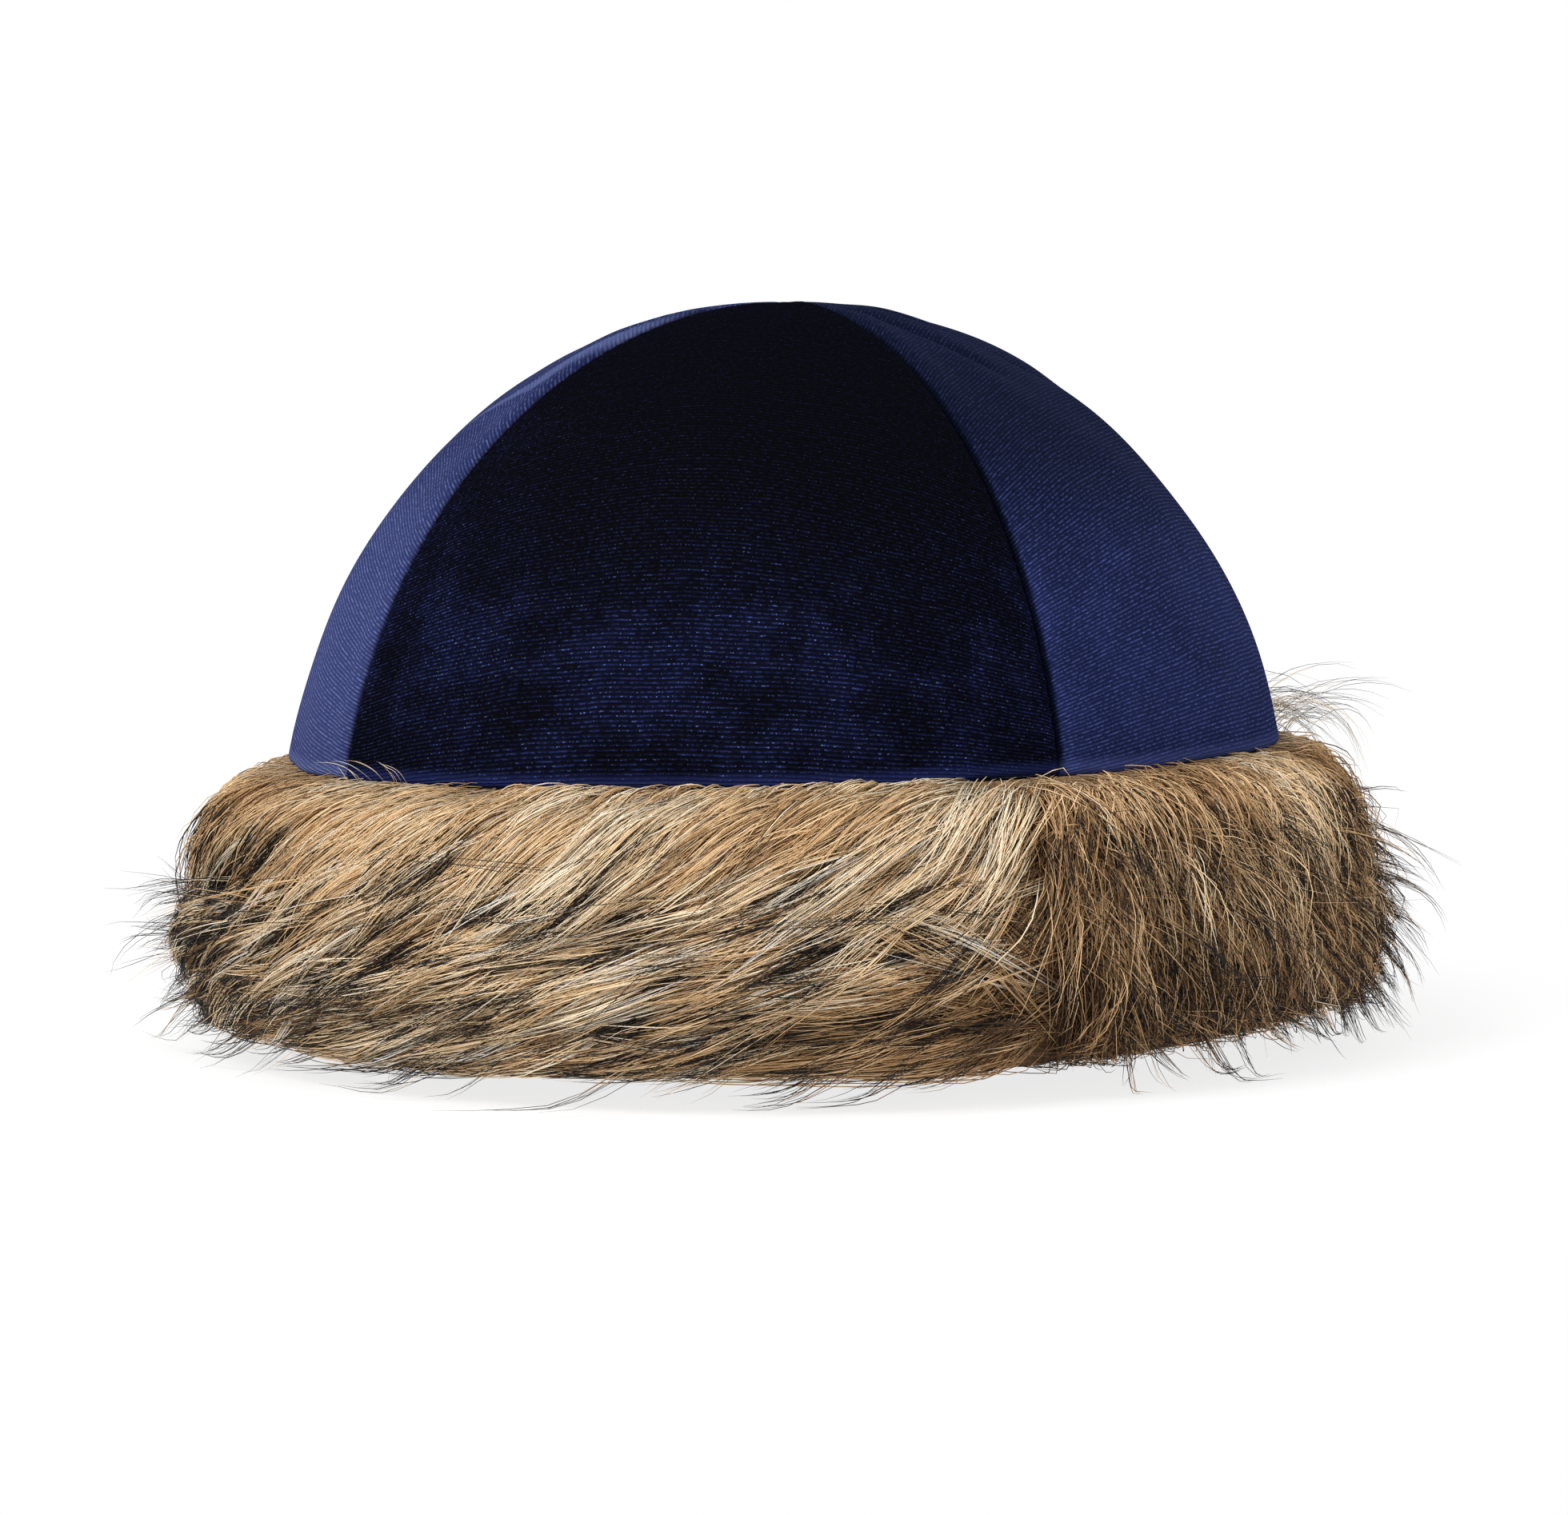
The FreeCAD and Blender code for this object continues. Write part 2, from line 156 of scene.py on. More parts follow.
def waves(seed, pitches):
    """A smooth random surface over two coordinates, from about -1 to 1, with features of these pitches."""
    rng = np.random.default_rng(seed)
    turn = rng.uniform(0, 2 * math.pi, (WAVES, 2))
    along = rng.uniform(0.6, 1.5, (WAVES, 2)) * 2 * math.pi / np.array(pitches)
    along *= rng.choice([-1, 1], (WAVES, 2))

    def height(first, second):
        total = 0
        for k in range(WAVES):
            total = total + np.sin(along[k, 0] * first + turn[k, 0] + along[k, 1] * second)
            total = total + np.cos(along[k, 0] * first * 0.7 - turn[k, 1] + along[k, 1] * second * 1.3)
        return total / math.sqrt(2 * WAVES) * 0.8

    return height


def ease(low, high, value):
    """0 at low and 1 at high, smoothly between them."""
    share = np.clip((value - low) / (high - low), 0, 1)
    return share * share * (3 - 2 * share)


def bell(off, width):
    """1 where off is 0, falling away over width on both sides."""
    return np.exp(-((off / width) ** 2))


def unit(vectors):
    """The vectors, each made one long."""
    return vectors / np.maximum(np.linalg.norm(vectors, axis=-1, keepdims=True), TINY)


# Materials


class Shader:
    """A material and its nodes, which are made and joined by name."""

    def __init__(self, name):
        self.material = bpy.data.materials.new(name)
        self.material.use_nodes = True
        self.tree = self.material.node_tree
        self.surface = self.tree.nodes["Principled BSDF"]

    def node(self, kind, **settings):
        made = self.tree.nodes.new(kind)
        for key, value in settings.items():
            setattr(made, key, value)
        return made

    def plug(self, socket, value):
        if isinstance(value, bpy.types.NodeSocket):
            self.tree.links.new(value, socket)
        else:
            socket.default_value = value

    def fill(self, made, *values):
        """Plugs values into a node's sockets in their order, and gives its first output."""
        for socket, value in zip(made.inputs, values):
            self.plug(socket, value)
        return made.outputs[0]

    def fill_named(self, made, **values):
        """Plugs values into the sockets of a node that have these names, with _ for a space."""
        for key, value in values.items():
            self.plug(made.inputs[key.replace("_", " ")], value)

    def finish(self, **values):
        """Plugs values into the shader's own sockets."""
        self.fill_named(self.surface, **values)
        return self.material

    def math(self, operation, *values):
        return self.fill(self.node("ShaderNodeMath", operation=operation), *values)

    def times(self, first, second):
        return self.math("MULTIPLY", first, second)

    def plus(self, first, second):
        return self.math("ADD", first, second)

    def minus(self, first, second):
        return self.math("SUBTRACT", first, second)

    def blend(self, first, share, second):
        """A share of first, and the rest of second."""
        return self.plus(self.times(first, share), self.times(second, 1 - share))

    def split(self, vector):
        """The three coordinates of a vector."""
        made = self.node("ShaderNodeSeparateXYZ")
        self.fill(made, vector)
        return tuple(made.outputs)

    def uv(self):
        """The two coordinates of the piece's own map."""
        return self.split(self.node("ShaderNodeUVMap", uv_map="OFBake").outputs[0])[:2]

    def place(self):
        return self.node("ShaderNodeTexCoord").outputs["Object"]

    def vector(self, *values):
        return self.fill(self.node("ShaderNodeCombineXYZ"), *values)

    def noise(self, vector, scale, detail=2.0, roughness=0.5):
        made = self.node("ShaderNodeTexNoise")
        self.fill_named(made, Vector=vector, Scale=scale, Detail=detail, Roughness=roughness)
        return made.outputs["Fac"]

    def spread(self, value, low, high, to_low=0.0, to_high=1.0):
        """value taken from one range to another, smoothly, and kept inside it."""
        made = self.node("ShaderNodeMapRange", interpolation_type="SMOOTHSTEP")
        return self.fill(made, value, low, high, to_low, to_high)

    def mix(self, share, first, second):
        made = self.node("ShaderNodeMix", data_type="RGBA")
        self.plug(made.inputs["Factor"], share)
        self.plug(made.inputs[6], first)
        self.plug(made.inputs[7], second)
        return made.outputs[2]

    def ramp(self, value, stops):
        made = self.node("ShaderNodeValToRGB")
        self.plug(made.inputs[0], value)
        ramp = made.color_ramp
        while len(ramp.elements) < len(stops):
            ramp.elements.new(0.5)
        for element, (place, colour) in zip(ramp.elements, stops):
            element.position = place
            element.color = colour
        return made.outputs[0]

    def bump(self, height, distance, strength):
        made = self.node("ShaderNodeBump")
        self.fill_named(made, Height=height, Distance=distance, Strength=strength)
        self.finish(Normal=made.outputs[0])


def colour(red, green, blue):
    """A colour written as it shows on a screen, 0 to 255, as the linear numbers that a shader takes."""
    linear = []
    for part in (red, green, blue):
        share = part / 255
        linear.append(share / 12.92 if share <= 0.04045 else ((share + 0.055) / 1.055) ** 2.4)
    return (*linear, 1.0)


# Ribs on a gore from its hem's level up to the top, yarns across it, and how many ribs a rib wanders by
RIBS, YARNS = 188, 170
RIB_WANDER = 1.6

# Where the velvet's painted light and shade change, as ranges of metres over the hem, along X and away from
# a seam
LOW_LIT_BAND, TOP_SHADE_RISE, HEM_HIGHLIGHT = (0.050, 0.024), (0.026, 0.070), (0.0034, 0.0006)
LEFT_LIT_BAND = (-0.012, -0.062)
SEAM_SHADE = (0.0011, 0.0003)
# Colours of the painted shade along the seams and of the painted glints, and the tint of the shader's own
# sheen
SEAM_SHADE_COLOUR, GLINT_COLOUR, SHEEN_COLOUR = colour(3, 4, 9), colour(88, 104, 172), colour(150, 162, 225)

# The left gore's fold: the heights in metres over which its line turns, and by what angles round the crown,
# the heights where it starts and ends, and the reach in metres of its painted shade and of the painted
# highlight on its crest
FIRST_BEND, FIRST_TURNS = (0.1095, 0.1205), (math.radians(19), math.radians(38))
LAST_BEND, LAST_TURNS = (0.1195, 0.1335), (0.0, math.radians(4))
CREASE_START, CREASE_END = (0.1085, 0.1150), (0.1334, 0.1310)
SHADE_REACH, SHADE_DEPTH = (0.0022, 0.0003), 0.85
CREST_REACH, CREST_LIGHT, CREST_OFFSET = (0.0028, 0.0004), 0.45, 0.0038


def crease(shader, x, y, height, cloth, dark, light):
    """The painted shade in the left gore's fold, and the painted highlight on the pile of its crest, along
    the fold's own line.
    """
    turn = shader.math("ARCTAN2", shader.times(y, -1.0), shader.times(x, -1.0))
    line = shader.spread(height, *FIRST_BEND, *FIRST_TURNS)
    line = shader.plus(line, shader.spread(height, *LAST_BEND, *LAST_TURNS))
    radius = shader.math("POWER", shader.plus(shader.times(x, x), shader.times(y, y)), 0.5)
    off = shader.times(shader.minus(turn, line), radius)
    reach = shader.times(shader.spread(height, *CREASE_START), shader.spread(height, *CREASE_END))
    shade = shader.spread(shader.math("ABSOLUTE", off), *SHADE_REACH, 0.0, SHADE_DEPTH)
    beside = shader.math("ABSOLUTE", shader.minus(off, CREST_OFFSET))
    crest = shader.spread(beside, *CREST_REACH, 0.0, CREST_LIGHT)
    cloth = shader.mix(shader.times(crest, reach), cloth, light)
    return shader.mix(shader.times(shade, reach), cloth, dark)


def velvet(name, dark, mid, light, nap, patch, top_shade, sheen, paint_fold_shade=False):
    """Ribbed velvet with painted light: nap lights its pile, patch adds painted light lower down, painted
    shade darkens it higher up.
    """
    shader = Shader(name)
    times, plus, minus, spread = shader.times, shader.plus, shader.minus, shader.spread
    across, up = shader.uv()
    place = shader.place()
    x, y, height = shader.split(place)

    # The cloth: its ribs, yarns, specks that take painted glints, crushed places and single fibres
    wobble = shader.noise(shader.vector(times(across, 9.0), times(up, 6.0), 0.0), 1.0)
    row = plus(times(up, float(RIBS)), times(wobble, RIB_WANDER))
    rib = plus(times(shader.math("SINE", times(row, 2 * math.pi)), 0.5), 0.5)
    yarn = shader.noise(shader.vector(times(across, float(YARNS)), row, 0.0), 0.9, 1.0)
    speck = shader.noise(shader.vector(times(across, YARNS * 1.6), row, 7.0), 1.3, 1.0)
    weft = shader.noise(shader.vector(times(across, 26.0), times(row, 0.16), 3.0), 1.0, 3.0)
    crush = shader.noise(place, 66.0, 4.0, 0.65)
    broad = shader.noise(place, 17.0)
    fibre = shader.noise(place, 2600.0)

    # Painted light on the pile, by place: lit lower down and to the left in mottled patches, painted shade
    # higher up
    over_hem = minus(minus(height, times(x, HEM_TILT)), HEM_HEIGHT * MM)
    lit = shader.math("MAXIMUM", spread(over_hem, *LOW_LIT_BAND), times(spread(x, *LEFT_LIT_BAND), 0.7))
    lit_mottle = times(times(lit, spread(crush, 0.41, 0.63)), spread(weft, 0.28, 0.62, 0.35, 1.0))
    pile = plus(plus(nap, times(lit_mottle, patch)), times(minus(broad, 0.5), 0.3))
    pile = minus(pile, spread(over_hem, *TOP_SHADE_RISE, 0.0, top_shade))

    # Colour: ground, painted shine on ribs, painted glints, painted shade in fold and seams, painted hem
    # highlight
    shine = times(spread(rib, 0.35, 1.0), spread(yarn, 0.38, 0.72))
    glint = times(spread(speck, 0.60, 0.74), spread(rib, 0.5, 1.0))
    cloth = shader.mix(spread(pile, 0.0, 1.0), dark, mid)
    cloth = shader.mix(times(shine, spread(pile, -0.15, 0.8, 0.08, 0.85)), cloth, light)
    cloth = shader.mix(times(glint, spread(pile, -0.2, 0.9, 0.05, 0.9)), cloth, GLINT_COLOUR)
    # Painted shade in the furrows between the ribs
    cloth = shader.mix(spread(rib, 0.45, 0.0, 0.0, 0.5), cloth, dark)
    # Painted shade in the left gore's fold, with a painted highlight on its crest
    if paint_fold_shade:
        cloth = crease(shader, x, y, height, cloth, dark, light)
    # Painted shade along the seams
    along_x = times(shader.math("ABSOLUTE", x), math.sin(SEAM_TURN))
    along_y = times(shader.math("ABSOLUTE", y), math.cos(SEAM_TURN))
    from_seam = shader.math("ABSOLUTE", minus(along_x, along_y))
    cloth = shader.mix(spread(from_seam, *SEAM_SHADE, 0.0, 0.85), cloth, SEAM_SHADE_COLOUR)
    # Painted highlight along the rolled hem
    cloth = shader.mix(spread(over_hem, *HEM_HIGHLIGHT, 0.0, 0.6), cloth, light)
    shader.bump(plus(plus(rib, times(yarn, 0.7)), times(fibre, 0.35)), 0.00028, 0.7)
    shader.finish(Base_Color=cloth, Roughness=0.9, Specular_IOR_Level=0.0)
    return shader.finish(Sheen_Weight=sheen, Sheen_Roughness=0.4, Sheen_Tint=SHEEN_COLOUR)


def hair():
    """Brushed fur. Across a strand's map is its tone and how dark its tip is, and up it is root to tip."""
    shader = Shader("brushed_fur")
    across, up = shader.uv()
    column = shader.math("FLOOR", shader.times(across, float(TONES * TIPS)))
    row = shader.math("FLOOR", shader.math("DIVIDE", column, float(TIPS)))
    tone = shader.math("DIVIDE", row, TONES - 1.0)
    tip = shader.math("DIVIDE", shader.math("MODULO", column, float(TIPS)), TIPS - 1.0)
    stops = [
        (0.00, colour(34, 29, 27)),
        (0.14, colour(84, 62, 45)),
        (0.32, colour(152, 114, 77)),
        (0.52, colour(210, 171, 124)),
        (0.72, colour(238, 207, 163)),
        (0.90, colour(250, 235, 206)),
        (1.00, colour(228, 225, 220)),
    ]
    body = shader.ramp(tone, stops)
    root = shader.mix(shader.spread(up, 0.0, 0.42, 0.62, 0.0), body, colour(70, 50, 34))
    past = shader.minus(up, shader.minus(0.74, shader.times(tip, 0.52)))
    dark = shader.times(shader.spread(past, 0.0, 0.24), shader.spread(tip, 0.0, 0.45))
    shaded = shader.mix(dark, root, colour(34, 31, 31))
    return shader.finish(Base_Color=shaded, Roughness=0.6, Specular_IOR_Level=0.12)


def under_fur():
    """The dense short fur deep in the pile, streaked along its nap."""
    shader = Shader("under_fur")
    across, up = shader.uv()
    lean = shader.plus(shader.times(across, 90.0), shader.times(up, 10.0))
    streak = shader.noise(shader.vector(lean, shader.times(up, 90.0), 0.0), 2.2, 3.0)
    value = shader.blend(streak, 0.7, shader.noise(shader.place(), 900.0))
    stops = [(0.3, colour(46, 34, 25)), (0.55, colour(96, 70, 46)), (0.75, colour(140, 105, 70))]
    shader.bump(value, 0.0012, 0.8)
    return shader.finish(Base_Color=shader.ramp(value, stops), Roughness=0.8, Specular_IOR_Level=0.15)


def satin(name, dark, light):
    """Plain cloth with a soft gloss and a fine weave."""
    shader = Shader(name)
    thread = shader.noise(shader.place(), 2600.0)
    cloud = shader.noise(shader.place(), 30.0)
    shade = shader.spread(shader.blend(thread, 0.5, cloud), 0.3, 0.7)
    shader.bump(thread, 0.00012, 0.5)
    gloss = shader.spread(cloud, 0.3, 0.7, 0.32, 0.46)
    shader.finish(Base_Color=shader.mix(shade, dark, light), Roughness=gloss)
    return shader.finish(Specular_IOR_Level=0.5, Sheen_Weight=0.2, Sheen_Roughness=0.4)


def grosgrain(name, dark, light, ribs):
    """Ribbon whose ribs cross it from edge to edge."""
    shader = Shader(name)
    across, _ = shader.uv()
    rib = shader.math("SINE", shader.times(across, 2 * math.pi * ribs))
    rib = shader.plus(shader.times(rib, 0.5), 0.5)
    value = shader.blend(rib, 0.6, shader.noise(shader.place(), 1500.0))
    shader.bump(value, 0.00035, 0.8)
    ribbon = shader.mix(shader.spread(value, 0.15, 0.8), dark, light)
    return shader.finish(Base_Color=ribbon, Roughness=0.55, Specular_IOR_Level=0.35)


def wool(name, dark, light, scale):
    """Matt fibres: wadding, knitted ground or spun thread."""
    shader = Shader(name)
    fibre = shader.noise(shader.place(), scale, 3.0, 0.6)
    value = shader.blend(fibre, 0.6, shader.noise(shader.place(), scale / 12))
    shader.bump(value, 0.0004, 0.6)
    fibres = shader.mix(shader.spread(value, 0.3, 0.7), dark, light)
    return shader.finish(Base_Color=fibres, Roughness=0.9, Specular_IOR_Level=0.1)


# The crown


def crown_point(angle, level, inset=0.0):
    """Points of the crown's egg, at an angle round it and an angle up from its base, and their normals."""
    side_x, side_y, rise = DOME_X - inset, DOME_Y - inset, DOME_RISE - inset
    reach = 1 / np.hypot(np.cos(angle) / side_x, np.sin(angle) / side_y)
    x = reach * np.cos(level) * np.cos(angle)
    y = reach * np.cos(level) * np.sin(angle)
    z = rise * np.sin(level)
    normal = np.stack([x / side_x**2, y / side_y**2, z / rise**2], axis=-1)
    return np.stack([x, y, z + DOME_BASE], axis=-1), unit(normal)


def dome_grid(middle, turn, share, low, inset=0.0):
    """A grid on the crown's egg, round it by turn from middle, and up by share from low over the hem."""
    start = math.asin((DOME_SINK + low) / DOME_RISE)
    share, turn = np.meshgrid(share, turn, indexing="ij")
    level = start + share * (math.pi / 2 - start)
    points, normal = crown_point(turn + math.radians(middle), level, inset)
    return turn, share, points, normal


def tilt_with_hem(points):
    """Leans the hem, and less and less of what is above and below it."""
    above = np.clip((CROWN_TOP - points[..., 2]) / (CROWN_TOP - HEM_HEIGHT), 0, 1) ** 2
    below = np.clip(points[..., 2] / HEM_HEIGHT, 0, 1) ** 2
    points[..., 2] += points[..., 0] * HEM_TILT * np.minimum(above, below)
    return points


# Seen from above, the crown's seams stand this far round from the X axis
SEAM_TURN = math.atan2(DOME_Y, DOME_X)
GORES = {"right": 0.0, "back": 90.0, "left": 180.0, "front": 270.0}
HALF_GORES = {"right": SEAM_TURN, "back": math.pi / 2 - SEAM_TURN}
HALF_GORES |= {"left": HALF_GORES["right"], "front": HALF_GORES["back"]}
GORE_COLUMNS, GORE_ROWS = 181, 170
GORE_ARC = 137.0
VELVET_THICKNESS, SATIN_THICKNESS = 0.6, 0.25
HEM_ROLL, HEM_TURNED_IN, HEM_WAVE, HEM_MAP_STEP = 1.1, 3.0, 0.35, 0.0045
SEAM_DEPTH, SEAM_WIDTH = 1.25, 1.15
RIDGE_HEIGHT, RIDGE_OFFSET, RIDGE_WIDTH = 0.32, 3.6, 2.2
PUCKER_PITCH, PUCKER_DEPTH, PUCKER_WIDTH = 3.1, 0.13, 4.5
UNEVENNESS = 0.35

# Soft folds that run down from the top. For each: shares of the way up the gore, the angles round the crown
# that it passes there, how deep its crease is, and how wide
FOLDS = {
    "left": [
        ((0.50, 0.57, 0.68, 0.92), (-160, -146, -140.5, -138), 1.0, 1.2),
        ((0.62, 0.75, 0.92), (-172, -156, -146), 0.7, 1.5),
    ],
    "right": [((0.60, 0.92), (-22, -38), 0.8, 1.5), ((0.58, 0.92), (4, -14), 0.5, 2.2)],
    "front": [((0.80, 0.99), (-101, -94), 0.3, 1.8), ((0.76, 0.98), (-72, -80), 0.3, 2.0)],
    "back": [((0.70, 0.98), (75, 82), 0.5, 2.4), ((0.62, 0.97), (112, 104), 0.5, 2.6)],
}
SWELL_HEIGHT, SWELL_OFFSET, SWELL_WIDTH = 0.75, 2.6, 2.4


def gore_relief(side, middle, turn, share, points):
    """How far the velvet stands off the egg: seam valleys, their puckers, soft folds and unevenness."""
    radius = np.hypot(points[..., 0], points[..., 1])
    away = radius * np.sin(HALF_GORES[side] - np.abs(turn))
    along = share * GORE_ARC
    near_top = ease(0.0, 26.0, radius)
    valley = SEAM_DEPTH * bell(away, SEAM_WIDTH) * (0.25 + 0.75 * near_top)
    ridge = RIDGE_HEIGHT * bell(away - RIDGE_OFFSET, RIDGE_WIDTH) * near_top
    seed = int(middle) + 11
    pucker = np.sin(2 * math.pi * along / PUCKER_PITCH + 1.4 * waves(seed, (40, 40))(along, away))
    pucker *= PUCKER_DEPTH * bell(away, PUCKER_WIDTH) * near_top
    pucker *= 0.6 + 0.4 * waves(seed + 1, (25, 60))(along, away)
    relief = ridge - valley + pucker
    for shares, angles, depth, width in FOLDS[side]:
        along_fold = (share - shares[0]) / (shares[-1] - shares[0])
        angle = np.radians(np.interp(share, shares, angles) - middle)
        angle = (angle + math.pi) % (2 * math.pi) - math.pi
        off = radius * (turn - angle) / width
        reach = ease(0.0, 0.22, along_fold) * ease(1.0, 0.8, along_fold)
        swell = SWELL_HEIGHT * bell(off - SWELL_OFFSET, SWELL_WIDTH)
        relief = relief + depth * reach * (swell - bell(off, 1))
    soft = waves(seed + 2, (60, 45))(along, turn * 90) * UNEVENNESS
    return relief + soft * ease(0.0, 12.0, away) * ease(1.0, 0.85, share)


def gore_map(middle, points):
    """The flat cloth's coordinates: across the gore, and up it by ribs straight across the cloth."""
    lean = math.radians(middle)
    forward = points[..., 0] * math.cos(lean) + points[..., 1] * math.sin(lean)
    sideways = points[..., 1] * math.cos(lean) - points[..., 0] * math.sin(lean)
    forward = forward / math.hypot(math.cos(lean) * DOME_X, math.sin(lean) * DOME_Y)
    sideways = sideways / math.hypot(math.sin(lean) * DOME_X, math.cos(lean) * DOME_Y)
    high = (points[..., 2] - DOME_BASE) / DOME_RISE
    up = np.arctan2(high, forward) / (math.pi / 2)
    across = 0.5 + np.arctan2(sideways, np.hypot(forward, high)) / (math.pi / 2)
    return np.stack([across, up], axis=-1)


def gore(side, middle):
    """A velvet gore from its rolled hem up to the top of the crown."""
    spread = np.linspace(-1, 1, GORE_COLUMNS)
    turn = HALF_GORES[side] * (0.45 * np.sin(spread * math.pi / 2) + 0.55 * spread)
    share = np.linspace(0, 0.9998, GORE_ROWS)
    turn, share, points, normal = dome_grid(middle, turn, share, HEM_ROLL)
    points += normal * gore_relief(side, middle, turn, share, points)[..., None]
    cloth = gore_map(middle, points)

    first = points[0]
    outward = unit(first * [1, 1, 0])
    rows = []
    for bend in np.linspace(0, math.pi / 2, 5)[1:]:
        drop = [0, 0, HEM_ROLL * math.sin(bend)]
        rows.append(first + outward * HEM_ROLL * (math.cos(bend) - 1) - drop)
    rows.append(rows[-1] - outward * HEM_TURNED_IN)
    points = np.concatenate([rows[::-1], points])
    wave = waves(int(middle) + 31, (70, 50))(turn[0] * 95, 0.0) * HEM_WAVE
    points[..., 2] += wave * np.exp(-np.maximum(points[..., 2] - HEM_HEIGHT, 0) / 12.0)
    below = [cloth[0] - [0, HEM_MAP_STEP * k] for k in range(len(rows), 0, -1)]
    cloth = np.clip(np.concatenate([below, cloth]).reshape(-1, 2), 0.0005, 0.9995)
    faces = grid_faces(*points.shape[:2])
    piece = make_mesh(f"velvet_gore_{side}", tilt_with_hem(points), faces, cloth[faces])
    thicken(piece, VELVET_THICKNESS, -1)
    return piece


# How far under the egg the lining and the wadding's two sides lie, and how high over the hem they start
LINING_INSET, LINING_LOW = 3.9, 0.8
WADDING_OUTSIDE, WADDING_INSIDE, WADDING_LOW = 1.75, 3.45, 1.0


def lining_gore(side, middle):
    """A satin gore of the lining, with the slack folds of cloth that hangs inside."""
    columns, rows = 81, 70
    half = HALF_GORES[side]
    turn = half * np.linspace(-1, 1, columns)
    share = np.linspace(0, 0.998, rows)
    turn, share, points, normal = dome_grid(middle, turn, share, LINING_LOW, LINING_INSET)
    away = np.hypot(points[..., 0], points[..., 1]) * np.sin(half - np.abs(turn))
    slack = waves(int(middle) + 51, (0.30, 3.2))(turn, share)
    depth = 0.55 * (1 + slack) * ease(0, 9, away) * ease(1.0, 0.8, share)
    seam = 0.5 * bell(away, 1.2)
    points -= normal * (depth + seam)[..., None]
    cloth = gore_map(middle, points).reshape(-1, 2)
    faces = grid_faces(rows, columns)
    piece = make_mesh(f"lining_gore_{side}", tilt_with_hem(points), faces, cloth[faces])
    thicken(piece, SATIN_THICKNESS, 1)
    return piece


def wadding_gore(side, middle):
    """The wadding behind a velvet gore, a layer of even thickness."""
    columns, rows = 61, 50
    size = columns * rows
    turn = HALF_GORES[side] * np.linspace(-0.992, 0.992, columns)
    start = math.asin((DOME_SINK + WADDING_LOW) / DOME_RISE)
    level, turn = np.meshgrid(np.linspace(start, math.radians(88.5), rows), turn, indexing="ij")
    angle = turn + math.radians(middle)
    skins = [crown_point(angle, level, inset)[0] for inset in (WADDING_OUTSIDE, WADDING_INSIDE)]
    outside = grid_faces(rows, columns)
    inside = outside[:, ::-1] + size
    index = np.arange(size).reshape(rows, columns)
    rim = np.concatenate([index[0], index[1:, -1], index[-1, -2::-1], index[-2:0:-1, 0]])
    after = np.roll(rim, -1)
    edge = np.stack([rim, rim + size, after + size, after], axis=1)
    faces = np.concatenate([outside, inside, edge])
    return make_mesh(f"wadding_gore_{side}", tilt_with_hem(np.stack(skins)), faces)


# The oval band: places are given by an angle round the head's oval, how far out from it, and how high


def oval_frame(angle):
    """Points of the head's oval, with the directions out from it and along it, level."""
    point = np.stack([HEAD_X * np.cos(angle), HEAD_Y * np.sin(angle)], axis=-1)
    out = unit(np.stack([HEAD_Y * np.cos(angle), HEAD_X * np.sin(angle)], axis=-1))
    along = np.stack([-out[..., 1], out[..., 0]], axis=-1)
    return point, out, along


def on_band(angle, out_by, height):
    """The points at these places of the band."""
    point, out, _ = oval_frame(angle)
    level = point + out * np.asarray(out_by)[..., None]
    return np.concatenate([level, np.broadcast_to(height, level.shape[:-1])[..., None]], axis=-1)


def place_on_band(points, angle):
    """The place of points on the band, from an angle near each point's own."""
    x, y = points[..., 0], points[..., 1]
    for _ in range(3):
        point, out, _ = oval_frame(angle)
        out_by = (x - point[..., 0]) * out[..., 0] + (y - point[..., 1]) * out[..., 1]
        share = out_by / np.hypot(HEAD_Y * np.cos(angle), HEAD_X * np.sin(angle))
        angle = np.arctan2(y / (HEAD_Y + share * HEAD_X), x / (HEAD_X + share * HEAD_Y))
    return angle, out_by


def band_strip(name, outline, start, end, steps):
    """A strip with this closed outline, given as places out and up, along the band from start to end."""
    outline = np.asarray(outline, float)
    size = (steps, len(outline))
    angle = np.broadcast_to(np.linspace(start, end, steps)[:, None], size)
    rows = on_band(angle, np.broadcast_to(outline[:, 0], size), outline[:, 1])
    faces = grid_faces(*size, closed=True)
    along = np.broadcast_to(np.linspace(0.002, 0.998, steps)[:, None], size)
    around = np.broadcast_to(np.linspace(0.002, 0.998, len(outline)), size)
    uvs = np.stack([along, around], axis=-1).reshape(-1, 2)[faces]
    closing = faces[:, 1] % len(outline) == 0
    uvs[closing, 1:3, 1] = 1.0
    return make_mesh(name, tilt_with_hem(rows), faces, uvs)


def rounded(corners, radius, steps=3):
    """An outline with its corners rounded."""
    outline = []
    corners = [np.array(corner, float) for corner in corners]
    for k, corner in enumerate(corners):
        before = corners[k - 1] - corner
        after = corners[(k + 1) % len(corners)] - corner
        size = min(radius, np.linalg.norm(before) / 2.2, np.linalg.norm(after) / 2.2)
        first = corner + unit(before) * size
        last = corner + unit(after) * size
        for share in np.linspace(0, 1, steps):
            outline.append((1 - share) ** 2 * first + 2 * share * (1 - share) * corner + share**2 * last)
    return outline


# The fur

TONES, TIPS = 16, 8
BODY_CLEARANCE = 5.4
STEEPER_AT_TOP = math.radians(15)
SETTLING_HEIGHT = 5.0
SOFT_FLOOR = 0.9
SECTION_CENTRE = (9.0, 24.0)
STRAND_POINTS = 8


def arc_radius(inner, rise):
    """The radius of the arc that bulges out to FUR_REACH and meets inner, rise above or below that."""
    run = FUR_REACH - inner
    return run / 2 + rise**2 / (2 * run)


